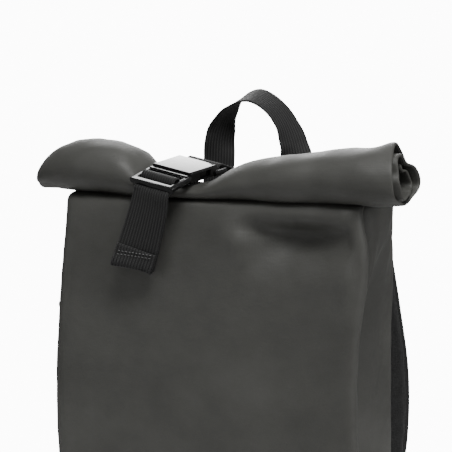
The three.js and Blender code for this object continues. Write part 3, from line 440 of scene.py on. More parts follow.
class Finish(Enum):
    """The finishes of the backpack."""

    COATED_CLOTH = CoatedCloth()
    WEBBING = Webbing()
    BUCKLE = MouldedPlastic("buckle_plastic", 20, 0.12, 0.00001)
    PLASTIC = MouldedPlastic("matt_plastic", 26, 0.42, 0.00009)
    ZIP_PLASTIC = MouldedPlastic("zip_plastic", 24, 0.38)
    BACK_MESH = PaddingCloth("back_mesh")
    STRAP_PADDING = PaddingCloth("strap_padding", 22, 46, 0.0016, 0.0004)
    BACK_CLOTH = Webbing("back_cloth", 26, 42, 0.0014, 0.0014)
    ZIP_CLOTH = Webbing("zip_cloth", 24, 40, 0.0014, 0.0014)
    METAL = CoatedMetal()
    THREAD = Thread()

    def material(self) -> Material:
        """Returns the material, made once."""
        return bpy.data.materials.get(self.value.name + FINISH_MARK) or self.value.material()


@dataclass
class Station:
    """One place along a band of webbing."""

    at: Vector
    across: Vector
    width: float
    thickness: float


class Maker:
    """Turns meshes into pieces of the backpack."""

    @staticmethod
    def piece(name: str, bm: Mesh, finish: Finish, slot: str, replaces: Sequence[str] = ()) -> Piece:
        """Makes a piece that rides on the bag.

        Args:
            name: the piece's name.
            bm: its mesh, in place, which is freed.
            finish: what it is made of.
            slot: the record's material slot; not used.
            replaces: the CAD nodes that it stands for.

        Returns:
            The object.
        """
        mesh = from_bm(name, bm)
        made = linked(name, mesh)
        mesh.materials.append(finish.material())
        for polygon in mesh.polygons:
            polygon.use_smooth = True
        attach(made, BODY)
        if replaces:
            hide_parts(*replaces)
        LOG.info("%s: %d faces", name, len(mesh.polygons))
        return made

    @staticmethod
    def grid(columns: int, rows: int, place: Callable, measure: Callable, wear: Callable | None = None) -> Mesh:
        """A sheet whose every corner is placed by a rule.

        Args:
            columns: faces across.
            rows: faces along.
            place: gives the point of a column and a row.
            measure: gives the cloth's own coordinates there, in metres.
            wear: gives how worn the cloth is there, from 0 to 1.

        Returns:
            The mesh, with its seam welded.
        """
        bm = bmesh.new()
        uv = bm.loops.layers.uv.new(UV_NAME)
        worn = bm.verts.layers.float.new(WEAR_NAME)
        bmesh.ops.create_grid(bm, x_segments=columns, y_segments=rows, size=0.5, calc_uvs=True)
        cells = {v: (round((v.co.x + 0.5) * columns), round((v.co.y + 0.5) * rows)) for v in bm.verts}
        for face in bm.faces:
            for loop in face.loops:
                loop[uv].uv = measure(*cells[loop.vert])
        for vert, (i, j) in cells.items():
            vert.co = place(i, j)
            vert[worn] = wear(i, j) if wear else 0.0
        bmesh.ops.remove_doubles(bm, verts=bm.verts, dist=WELD)
        return bm

    @staticmethod
    def close(bm: Mesh) -> Mesh:
        """Fills a mesh's open ends and turns its faces out. Returns the mesh."""
        bmesh.ops.holes_fill(bm, edges=[e for e in bm.edges if e.is_boundary], sides=0)
        bmesh.ops.recalc_face_normals(bm, faces=bm.faces)
        return bm

    @staticmethod
    def from_node(node: str) -> Mesh:
        """Returns a merged copy of a CAD node's mesh, with its flat faces whole."""
        bm = bmesh.new()
        bm.from_mesh(frame["nodes"][node].data)
        bmesh.ops.remove_doubles(bm, verts=bm.verts, dist=WELD)
        bmesh.ops.dissolve_limit(bm, angle_limit=math.radians(1), verts=bm.verts, edges=bm.edges)
        return bm

    @staticmethod
    def modifier(piece: Piece, kind: str, **settings: object) -> None:
        """Adds a modifier with its settings to a piece."""
        made = piece.modifiers.new(kind.lower(), kind)
        for key, value in settings.items():
            setattr(made, key, value)

    @classmethod
    def rounded(cls, piece: Piece, width: float, segments: int = 3) -> None:
        """Rounds a hard piece's edges."""
        cls.modifier(piece, "BEVEL", width=width, segments=segments, limit_method="ANGLE", angle_limit=math.radians(35))

    @classmethod
    def subdivided(cls, piece: Piece, levels: int = 1) -> None:
        """Smooths a soft piece's faces."""
        cls.modifier(piece, "SUBSURF", levels=levels, render_levels=levels)


class Padding:
    """Fills padded pieces out by a short cloth simulation."""

    FRAMES = 20
    PRESSURE = 4.0

    @classmethod
    def fill(cls, piece: Piece, sewn: Callable[[Vector], float], most: float, voxel: float = 0.0) -> None:
        """Lets air push a closed form of cloth out.

        Args:
            piece: the piece, whose mesh is changed.
            sewn: says how firmly a point is held, from 0 to 1.
            most: the furthest that a point may move, in metres.
            voxel: size of the even mesh that is made first, or 0 to keep the piece's own.
        """
        if voxel:
            piece.data.remesh_voxel_size = voxel
            with bpy.context.temp_override(object=piece, active_object=piece, selected_objects=[piece]):
                bpy.ops.object.voxel_remesh()
        ends = cls.filled(piece, sewn)
        for vertex, end in zip(piece.data.vertices, ends):
            way = end - vertex.co
            vertex.co += way * min(1.0, most / max(way.length, TINY))
        for polygon in piece.data.polygons:
            polygon.use_smooth = True

    @classmethod
    def filled(cls, piece: Piece, sewn: Callable[[Vector], float]) -> list[Vector]:
        """Returns where the simulation takes each point."""
        group = piece.vertex_groups.new(name="sewn")
        for vertex in piece.data.vertices:
            group.add([vertex.index], sewn(vertex.co), "REPLACE")
        cloth = piece.modifiers.new("filling", "CLOTH")
        cloth.settings.vertex_group_mass = group.name
        cloth.settings.use_pressure = True
        cloth.settings.uniform_pressure_force = cls.PRESSURE
        cloth.settings.effector_weights.gravity = 0
        scene = bpy.context.scene
        for step in range(1, cls.FRAMES + 1):
            scene.frame_set(step)
        seen = piece.evaluated_get(bpy.context.evaluated_depsgraph_get())
        ends = [v.co.copy() for v in seen.to_mesh().vertices]
        seen.to_mesh_clear()
        piece.modifiers.remove(cloth)
        piece.vertex_groups.remove(group)
        scene.frame_set(1)
        return ends


def catmull(points: Sequence[Vector], step: float) -> list[Vector]:
    """A smooth line through points.

    Args:
        points: the points.
        step: about how far apart the line's own points are.

    Returns:
        The line's points.
    """
    line = [points[0]]
    last = len(points) - 1
    for i in range(last):
        a, b = points[i], points[i + 1]
        before, after = points[max(i - 1, 0)], points[min(i + 2, last)]
        gap = (b - a).length
        slope_a = (b - before) / max((b - a).length + (a - before).length, TINY) * gap
        slope_b = (after - a) / max((after - b).length + gap, TINY) * gap
        count = max(1, round(gap / step))
        line += [eased(a, b, slope_a, slope_b, n / count) for n in range(1, count + 1)]
    return line


def band(stations: Sequence[Station], flats: int = 10) -> Mesh:
    """A closed band of webbing with round edges.

    Args:
        stations: the places along it.
        flats: faces across each of its two sides.

    Returns:
        The mesh. Its own coordinates are across and along, in metres.
    """
    turns = (90, 60, 30, 0, -30, -60, -90)
    lengths = [0.0]
    for a, b in zip(stations, stations[1:]):
        lengths.append(lengths[-1] + (b.at - a.at).length)

    def section(s: Station) -> list[tuple[float, float]]:
        """Returns the places round a section, across and out."""
        flat, r = s.width / 2 - s.thickness / 2, s.thickness / 2
        top = [(lerp(-flat, flat, i / flats), r) for i in range(flats)]
        right = [(flat + r * math.cos(math.radians(a)), r * math.sin(math.radians(a))) for a in turns[:-1]]
        bottom = [(lerp(flat, -flat, i / flats), -r) for i in range(flats)]
        left = [(-flat - r * math.cos(math.radians(a)), -r * math.sin(math.radians(a))) for a in turns]
        return top + right + bottom + left

    sections = [section(s) for s in stations]
    frames = []
    for i, s in enumerate(stations):
        ahead = (stations[min(i + 1, len(stations) - 1)].at - stations[max(i - 1, 0)].at).normalized()
        normal = ahead.cross(s.across).normalized()
        frames.append((s.at, normal.cross(ahead).normalized(), normal))

    def place(i: int, j: int) -> Vector:
        """Returns a point of the band."""
        at, side, normal = frames[j]
        u, v = sections[j][i]
        return at + side * u + normal * v

    count = len(sections[0]) - 1
    return Maker.close(Maker.grid(count, len(stations) - 1, place, lambda i, j: (sections[j][i][0], lengths[j])))


def tube(line: Sequence[Vector], outs: Sequence[Vector], radius: float, sides: int = 10) -> Mesh:
    """A round cord of cloth, such as piping.

    Args:
        line: its middle points. A line that ends where it starts is closed.
        outs: a direction away from the line at each point.
        radius: its radius.
        sides: faces round it.

    Returns:
        The mesh.
    """
    last = len(line) - 1
    closed = (line[0] - line[last]).length < WELD
    frames = []
    for i, p in enumerate(line):
        before = line[last - 1] if closed and i == 0 else line[max(i - 1, 0)]
        after = line[1] if closed and i == last else line[min(i + 1, last)]
        side = (after - before).cross(outs[i]).normalized()
        frames.append((p, side, side.cross(after - before).normalized()))

    def place(i: int, j: int) -> Vector:
        """Returns a point of the cord."""
        p, side, out = frames[j]
        a = 2 * math.pi * i / sides
        return p + (side * math.cos(a) + out * math.sin(a)) * radius

    return Maker.close(Maker.grid(sides, last, place, lambda i, j: (i * radius * 0.6, j * 0.003)))


def round_path(width: float, height: float, radius: float, step: float = 0.003) -> list[tuple[float, float]]:
    """Returns a closed rounded rectangle round the origin, as places across and up."""
    made = []
    for (u, v), start in zip(((1, 1), (-1, 1), (-1, -1), (1, -1)), (0, 90, 180, 270)):
        cx, cz = u * (width / 2 - radius), v * (height / 2 - radius)
        for i in range(7):
            a = math.radians(start + 15 * i)
            made.append((cx + radius * math.cos(a), cz + radius * math.sin(a)))
    made.append(made[0])
    path = [made[0]]
    for (ax, az), (bx, bz) in zip(made, made[1:]):
        count = max(1, round(math.hypot(bx - ax, bz - az) / step))
        path += [(lerp(ax, bx, n / count), lerp(az, bz, n / count)) for n in range(1, count + 1)]
    return path


@dataclass
class Seam:
    """A row of stitches along a line on a surface."""

    pitch: float = 0.0036
    stitch: float = 0.0026
    thread: float = 0.0008

    @staticmethod
    def dropped(piece: Piece, points: Iterable[Vector], way: Vector, near: float = 0.03) -> list:
        """Lays points on a piece.

        Args:
            piece: the piece.
            points: the points.
            way: the direction in which they are dropped.
            near: how far above the piece they start.

        Returns:
            The points that met it, each with the direction out of it.
        """
        bpy.context.view_layer.update()
        tree = BVHTree.FromObject(piece, bpy.context.evaluated_depsgraph_get())
        found = []
        for p in points:
            at, normal, _, _ = tree.ray_cast(p - way * near, way, near * 2)
            if at is not None:
                found.append((at, normal if normal.dot(way) < 0 else -normal))
        return found

    def sewn(self, name: str, slot: str, rows: Sequence[Sequence[tuple[Vector, Vector]]]) -> None:
        """Makes a piece that holds rows of stitches."""
        bm = bmesh.new()
        for row in rows:
            self.sew(bm, row)
        Maker.piece(name, bm, Finish.THREAD, slot)

    def sew(self, bm: Mesh, line: Sequence[tuple[Vector, Vector]]) -> None:
        """Adds a row of stitches.

        Args:
            bm: the mesh that they are added to.
            line: the points of the row, each with the direction out of the cloth.
        """
        travelled, due = 0.0, self.pitch / 2
        for (a, out_a), (b, out_b) in zip(line, line[1:]):
            gap = (b - a).length
            while gap > TINY and travelled + gap >= due:
                share = (due - travelled) / gap
                along = (b - a).normalized()
                out = out_a.lerp(out_b, share).normalized()
                side = out.cross(along).normalized()
                turn = Matrix((along, side, out)).transposed().to_4x4()
                size = Matrix.Diagonal((self.stitch / 2, self.thread / 2, self.thread / 2, 1.0))
                at = Matrix.Translation(a.lerp(b, share) + out * self.thread * 0.25)
                bmesh.ops.create_uvsphere(bm, u_segments=6, v_segments=4, radius=1.0, matrix=at @ turn @ size)
                due += self.pitch
            travelled += gap


@dataclass(frozen=True)
class ClothLine:
    """A line of cloth that runs up the bag.

    face is -1 on the front half and 1 on the back half, hand is -1 on the left and 1 on the right. panel is the share
    of half the panel's flat width, and None on a side, where side is the share of the way from corner to middle.
    """

    face: float
    hand: float = 0.0
    panel: float | None = None
    side: float = 0.0


@dataclass(frozen=True)
class Dent:
    """A place where the front panel is pressed in, or stands out where deep is negative."""

    x: float
    z: float
    wide: float
    above: float
    below: float
    deep: float

    def depth(self, x: float, z: float) -> float:
        """Returns how far the panel is pressed in at a place."""
        tall = self.above if z > self.z else self.below
        return self.deep * bell(x, self.x, self.wide) * bell(z, self.z, tall)


@dataclass
class BagCloth:
    """The sack and its rolled mouth, which are one piece of coated cloth."""

    front_width: float = 0.286
    back_width: float = 0.272
    depth: float = 0.130
    front_height: float = 0.396
    back_height: float = 0.397
    corner: float = 0.008
    base_round: float = 0.009
    belly: float = 0.007
    cloth: float = 0.0012
    layer_gap: float = 0.0004
    mouth_width: float = 0.342
    roll_height: float = 0.054
    roll_depth: float = 0.060
    roll_turns: float = 2.2
    roll_air: float = 0.0036
    roll_overhang: float = 0.004
    roll_seat: float = 0.001
    neck: float = 0.005
    arc_share: float = 0.22
    tip_share: float = 0.94
    wall_top: float = 0.985

    ROWS = Profile(
        ("height", "front", "width", "crease", "sway"),
        (
            (0.03, 0.995, 1.0, 0.0, 0.0),
            (0.14, 1.01, 1.01, 0.06, -0.002),
            (0.3, 1.015, 1.015, 0.13, -0.01),
            (0.46, 1.01, 1.01, 0.18, -0.022),
            (0.6, 0.995, 1.005, 0.2, -0.028),
            (0.72, 0.985, 1.005, 0.18, -0.02),
            (0.8, 0.98, 1.01, 0.12, -0.009),
            (0.86, 0.975, 1.01, 0.04, -0.002),
            (0.91, 0.972, 1.0, -0.04, 0.0),
            (0.95, 0.97, 0.985, -0.09, -0.003),
            (0.985, 0.96, 0.975, -0.12, -0.006),
        ),
    )
    ROLL = Profile(
        ("at", "height", "depth", "lift", "air"),
        (
            (-1.0, 0.5, 0.76, 0.07, 0.4),
            (-0.88, 0.76, 0.9, 0.06, 0.8),
            (-0.7, 0.9, 0.98, 0.06, 1.0),
            (-0.54, 0.86, 0.96, 0.04, 0.9),
            (-0.45, 0.7, 0.92, 0.02, 0.5),
            (-0.36, 0.34, 0.87, 0.0, 0.05),
            (-0.2, 0.29, 0.86, 0.0, 0.0),
            (-0.05, 0.3, 0.88, 0.0, 0.0),
            (0.1, 0.54, 0.94, 0.0, 0.3),
            (0.32, 0.74, 1.0, 0.0, 0.8),
            (0.6, 0.86, 1.03, 0.0, 1.0),
            (0.85, 0.95, 1.05, 0.0, 1.0),
            (1.0, 0.96, 0.98, 0.0, 1.0),
        ),
    )
    ENDS = Profile(
        ("turn", "left", "right"),
        (
            (0.0, 0.96, 0.98),
            (0.1, 0.965, 0.955),
            (0.22, 1.0, 0.985),
            (0.34, 1.03, 1.01),
            (0.45, 0.97, 1.05),
            (0.57, 0.94, 0.985),
            (0.8, 0.93, 1.03),
            (1.0, 0.89, 0.98),
        ),
    )
    DENTS = (
        Dent(0.086, 0.3695, 0.038, 0.009, 0.021, 0.0195),
        Dent(0.062, 0.350, 0.028, 0.016, 0.022, 0.0060),
        Dent(0.031, 0.361, 0.010, 0.015, 0.018, -0.0062),
        Dent(0.044, 0.375, 0.016, 0.006, 0.008, 0.0040),
        Dent(0.100, 0.3865, 0.050, 0.004, 0.0055, -0.0030),
        Dent(0.020, 0.3655, 0.015, 0.022, 0.026, -0.0045),
        Dent(0.135, 0.334, 0.022, 0.020, 0.020, -0.004),
        Dent(-0.079, 0.3223, 0.086, 0.039, 0.039, 0.0026),
    )

    BUCKLE_REACH = (-0.028, 0.034)
    BANK = (-0.068, 0.013)
    PEAK = (0.163, 0.012)
    END_WAVES = {
        "right": (((0.0022, 2, -0.5), (0.0016, 5, 1.0)), ((0.0034, 3, 0.6), (-0.0014, 7, 0.0))),
        "left": (((0.0030, 2, 1.1), (0.0012, 4, 0.0)), ((0.0026, 3, 2.0),)),
    }

    def __post_init__(self) -> None:
        """Works out the sizes that follow from the others."""
        self.back_y = self.depth / 2
        self.half_layers = (self.cloth + self.layer_gap) / 2
        self.edge = self.half_layers + self.cloth / 2
        self.neck_y = -self.back_y - self.roll_overhang + self.roll_depth - self.edge
        self.roll_front = self.neck_y + self.edge - self.roll_depth
        self.roll_floor = self.front_height - self.roll_seat

    def front_dent(self, x: float, z: float) -> float:
        """Returns how far the front panel is pressed in at a place."""
        wave = 0.0016 * noise.noise(Vector((x * 24, 3.1, z * 11)))
        return wave + sum(dent.depth(x, z) for dent in self.DENTS)

    def wall(self, line: ClothLine, height: float) -> Vector:
        """The middle of the cloth below the shoulders.

        Args:
            line: which line of cloth.
            height: share of the panels' height.

        Returns:
            The point.
        """
        width = self.ROWS.at("width", height)
        panel_width = self.back_width if line.face > 0 else self.front_width
        half = panel_width / 2 * width - self.cloth / 2
        front = self.back_y - self.ROWS.at("front", height) * self.depth + self.cloth / 2
        back = self.back_y - self.cloth / 2
        y = back if line.face > 0 else front
        z = height * (self.back_height if line.face > 0 else self.front_height)
        lean = self.ROWS.at("sway", height) * self.front_width
        sway = 0.0 if line.face > 0 else lean
        if line.panel is not None:
            x = line.panel * (half - self.corner)
            if line.face > 0:
                return Vector((x, y, z))
            swell = self.belly * (1 - line.panel**2) * math.sin(math.pi * height)
            return Vector((x + sway, y - swell + self.front_dent(x, z), z))
        if line.side <= self.arc_share:
            angle = math.pi / 2 * line.side / self.arc_share
            x = half - self.corner * (1 - math.sin(angle))
            return Vector((line.hand * x + sway, y - line.face * self.corner * (1 - math.cos(angle)), z))
        share = (line.side - self.arc_share) / (1 - self.arc_share)
        soft = 1 - math.sqrt((1 - share) ** 2 + 0.07**2)
        mean_width = (self.front_width + self.back_width) / 4
        inner = mean_width * width - self.ROWS.at("crease", height) * self.depth
        puff = 0.0025 * math.sin(math.pi * share) * math.sin(math.pi * height)
        x = lerp(half, inner, soft) + puff
        wave = 0.0022 * noise.noise(Vector((7.0 + line.hand, y * 6 + share * 3 * line.face, z * 14)))
        y = lerp(y - line.face * self.corner, (front + back) / 2, share)
        z = lerp(z, height * (self.front_height + self.back_height) / 2, share)
        x -= self.side_fold(line, share, height)
        x = line.hand * (x + wave * math.sin(math.pi * share)) + lerp(sway, lean / 2, share)
        return Vector((x, y, z))

    def side_fold(self, line: ClothLine, share: float, height: float) -> float:
        """Returns how deep the folds of a side are, which run down from the ends of the roll."""
        along = smooth(height, 0.42, 0.62) * (1 - 0.3 * smooth(height, 0.93, 0.985))
        if line.face < 0:
            middle = lerp(0.36, 0.14, smooth(height, 0.6, 0.95))
            return 0.0115 * along * bell(share, middle, 0.085)
        return -0.0030 * along * bell(share, 0.55, 0.2)

    def mouth_x(self, line: ClothLine, turned: float) -> float:
        """Returns where a line lies across the flattened mouth, at a share of all the turns."""
        corner = self.front_width / 2 - self.corner
        if line.panel is not None:
            return line.panel * corner
        reach = self.ENDS.at("right" if line.hand > 0 else "left", turned)
        return line.hand * lerp(corner, reach * self.mouth_width / 2 - self.cloth / 2, line.side**0.8)

    def roll_section(self, x: float) -> tuple[float, float, float, float, float]:
        """The roll's section at a place along it.

        Args:
            x: the place.

        Returns:
            The pitch of its turns, half its height, half its depth, and its middle's y and z.
        """
        at = clamp(x / (self.mouth_width / 2), -1, 1)
        pitch = 2 * self.cloth + 2 * self.layer_gap + self.roll_air * self.ROLL.at("air", at)
        half_height = (self.roll_height * self.ROLL.at("height", at) + pitch) / 2 - self.edge
        half_depth = (self.roll_depth * self.ROLL.at("depth", at) + pitch / 2) / 2 - self.edge
        lift = self.roll_height * self.ROLL.at("lift", at)
        middle_z = self.roll_floor + lift + half_height - 0.75 * pitch + self.edge
        return pitch, half_height, half_depth, self.neck_y - half_depth, middle_z

    def rolled(self, line: ClothLine, angle: float, drop: float = 0.0) -> Vector:
        """The middle of the cloth on the roll, or below it on the straight neck.

        Args:
            line: which line of cloth.
            angle: how far it has wound.
            drop: how far below the roll it is.

        Returns:
            The point.
        """
        turned = angle / (2 * math.pi)
        x = self.mouth_x(line, turned / self.roll_turns)
        pitch, half_height, half_depth, middle_y, middle_z = self.roll_section(x)
        tip = clamp((line.side - self.tip_share) / (1 - self.tip_share))
        face = line.face * (1.0 if line.panel is not None else math.sqrt(1 - tip * tip))
        inwards = face * self.half_layers - pitch * turned
        out = Vector((0, math.cos(angle), math.sin(angle)))
        place = Vector((x, middle_y + half_depth * out.y, middle_z + half_height * out.z))
        soft = 0.0022 * noise.noise(place * 26) + 0.0010 * noise.noise(place * 62 + Vector((5, 2, 8)))
        held = 1 - 0.8 * bell(x, *self.BUCKLE_REACH)
        inwards += soft * held * smooth(angle, 0.0, 1.2)
        inwards += self.crumple(x, angle)
        return Vector((
            x,
            middle_y + (half_depth + inwards) * out.y,
            middle_z + (half_height + inwards) * out.z - drop,
        ))

    def crumple(self, x: float, angle: float) -> float:
        """Returns how far the roll's cloth stands out beside the buckle and at its folded ends."""
        end = smooth(abs(x), 0.128, 0.172)
        if end == 0.0:
            return 0.0095 * bell(x, *self.BANK) * bell(angle % (2 * math.pi), 1.0, 0.65)
        inner = smooth(angle / (2 * math.pi), 0.75, 1.2)
        outer, folds = self.END_WAVES["right" if x > 0 else "left"]
        if x > 0 and angle < math.pi:
            peak = 0.0062 * bell(x, *self.PEAK) * bell(angle, 1.45, 0.5)
            return peak + end * self.waved(outer[:1], angle)
        return end * lerp(self.waved(outer, angle), self.waved(folds, angle), inner)

    @staticmethod
    def waved(waves: Sequence[tuple[float, float, float]], angle: float) -> float:
        """Returns the sum of waves round the roll, each with its depth, how many go round it and its shift."""
        return sum(deep * math.cos(count * angle + shift) for deep, count, shift in waves)

    def shoulder(self, line: ClothLine, share: float) -> Vector:
        """Returns a point of the shoulders, from the walls' top edges (0) to the neck (1)."""
        edge = self.wall(line, self.wall_top)
        neck = self.rolled(line, 0.0, self.neck * 2)
        level = lerp(edge.z, neck.z, 0.45 if line.face > 0 else 0.1)
        bend = Vector((lerp(edge.x, neck.x, 0.6), neck.y, level))
        top = self.back_height if line.face > 0 else self.front_height
        lip = Vector((edge.x, edge.y, lerp(edge.z, top, 0.9 if line.face > 0 else 2.1)))
        if line.face < 0 and line.panel is not None:
            lip.y -= 0.8 * self.front_dent(edge.x, edge.z)
        s = 1 - share
        return edge * s**3 + lip * 3 * s * s * share + bend * 3 * s * share * share + neck * share**3

    def base(self, line: ClothLine, inset: float, z: float) -> Vector:
        """Returns a point of the base, or of its rounded edge, at a distance in from the walls."""
        foot = self.wall(line, 0.0)
        half_width, half_depth = self.front_width / 2, self.depth / 2
        return Vector((
            foot.x * (half_width - inset) / half_width,
            foot.y * (half_depth - inset) / half_depth,
            z,
        ))

    def lines(self) -> list[ClothLine]:
        """Returns the lines of cloth once round the bag from the front's left edge, with the first again at the end."""
        front_steps, back_steps, arc_steps, side_steps, tip_steps = 60, 40, 5, 13, 4
        sides = [self.arc_share * i / arc_steps for i in range(arc_steps)]
        sides += [lerp(self.arc_share, self.tip_share, i / side_steps) for i in range(side_steps)]
        sides += [
            lerp(self.tip_share, 1.0, math.sin(math.pi / 2 * i / tip_steps)) for i in range(tip_steps + 1)
        ]
        there, back_again = sides[:-1], sides[:0:-1]
        made = [ClothLine(-1, 0, lerp(-1, 1, i / front_steps)) for i in range(front_steps)]
        made += [ClothLine(-1, 1, None, s) for s in there]
        made += [ClothLine(1, 1, None, s) for s in back_again]
        made += [ClothLine(1, 0, lerp(1, -1, i / back_steps)) for i in range(back_steps)]
        made += [ClothLine(1, -1, None, s) for s in there]
        made += [ClothLine(-1, -1, None, s) for s in back_again]
        return made + [made[0]]

    def rows(self) -> list[Callable[[ClothLine], Vector]]:
        """Returns the rule for each row of cloth, from the middle of the base to the roll's inner end."""
        base_steps, round_steps, wall_steps, shoulder_steps, roll_steps = 5, 6, 76, 12, 84
        made = []
        floor = self.cloth / 2
        for i in range(base_steps):
            share = i / base_steps
            made.append(lambda line, s=share: (self.base(line, self.base_round, 0) * s) + Vector((0, 0, floor)))
        for i in range(round_steps):
            a = math.pi / 2 * i / round_steps
            inset, z = self.base_round * (1 - math.sin(a)), floor + self.base_round * (1 - math.cos(a))
            made.append(lambda line, d=inset, z=z: self.base(line, d, z))
        low = (self.base_round + floor) / self.front_height
        for i in range(wall_steps + 1):
            height = lerp(low, self.wall_top, i / wall_steps)
            made.append(lambda line, h=height: self.wall(line, h))
        for i in range(1, shoulder_steps):
            made.append(lambda line, s=i / shoulder_steps: self.shoulder(line, s))
        for share in (2.0, 1.3, 0.6):
            made.append(lambda line, d=share * self.neck: self.rolled(line, 0.0, d))
        for i in range(roll_steps + 1):
            angle = 2 * math.pi * self.roll_turns * i / roll_steps
            made.append(lambda line, a=angle: self.rolled(line, a))
        return made

    def build(self) -> None:
        """Makes the sack with its rolled mouth."""
        lines, rows = self.lines(), self.rows()
        points = [[row(line) for line in lines] for row in rows]
        around = [0.0]
        middle = points[len(rows) // 4]
        for a, b in zip(middle, middle[1:]):
            around.append(around[-1] + (b - a).length)
        up = [0.0]
        column = len(lines) // 6
        for a, b in zip(points, points[1:]):
            up.append(up[-1] + (b[column] - a[column]).length)
        bm = Maker.grid(
            len(lines) - 1,
            len(rows) - 1,
            lambda i, j: points[j][i],
            lambda i, j: (around[i], up[j]),
            lambda i, j: self.wear(lines[i], points[j][i]),
        )
        bmesh.ops.recalc_face_normals(bm, faces=bm.faces)
        bm.normal_update()
        for vert in bm.verts:
            if vert.co.z > 0.02:
                p = vert.co
                fine = 0.0005 * noise.noise(p * 38) + 0.00025 * noise.noise(p * 95 + Vector((3, 1, 4)))
                vert.co = p + vert.normal * fine
        made = Maker.piece("coated_sack", bm, Finish.COATED_CLOTH, "coated_cloth", ("main_sack", "rolled_collar"))
        Maker.modifier(made, "SOLIDIFY", thickness=self.cloth, offset=0.0)

    def wear(self, line: ClothLine, at: Vector) -> float:
        """Returns how rubbed the cloth is at a place: along the corners, the base's edge and the roll's ends."""
        corner = bell(abs(at.x), self.front_width / 2, 0.008) if line.panel is None else 0.0
        foot = bell(at.z, 0.0, 0.012)
        end = smooth(abs(at.x), 0.155, 0.172)
        return clamp(0.5 * corner + 0.9 * foot + 0.6 * end)

    def front_y(self, x: float, z: float) -> float:
        """Returns the y of the front panel's face at a place."""
        line = ClothLine(-1, 0, clamp(x / (self.front_width / 2 - self.corner), -1, 1))
        return self.wall(line, z / self.front_height).y - self.cloth / 2

    def roll_top(self, x: float, y: float) -> float:
        """Returns the height of the roll's top under a place, or 0 beside it."""
        pitch, half_height, half_depth, middle_y, middle_z = self.roll_section(x)
        across = (y - middle_y) / (half_depth + self.edge)
        if abs(across) >= 1:
            return 0.0
        return middle_z + (half_height - 0.25 * pitch + self.edge) * math.sqrt(1 - across * across)


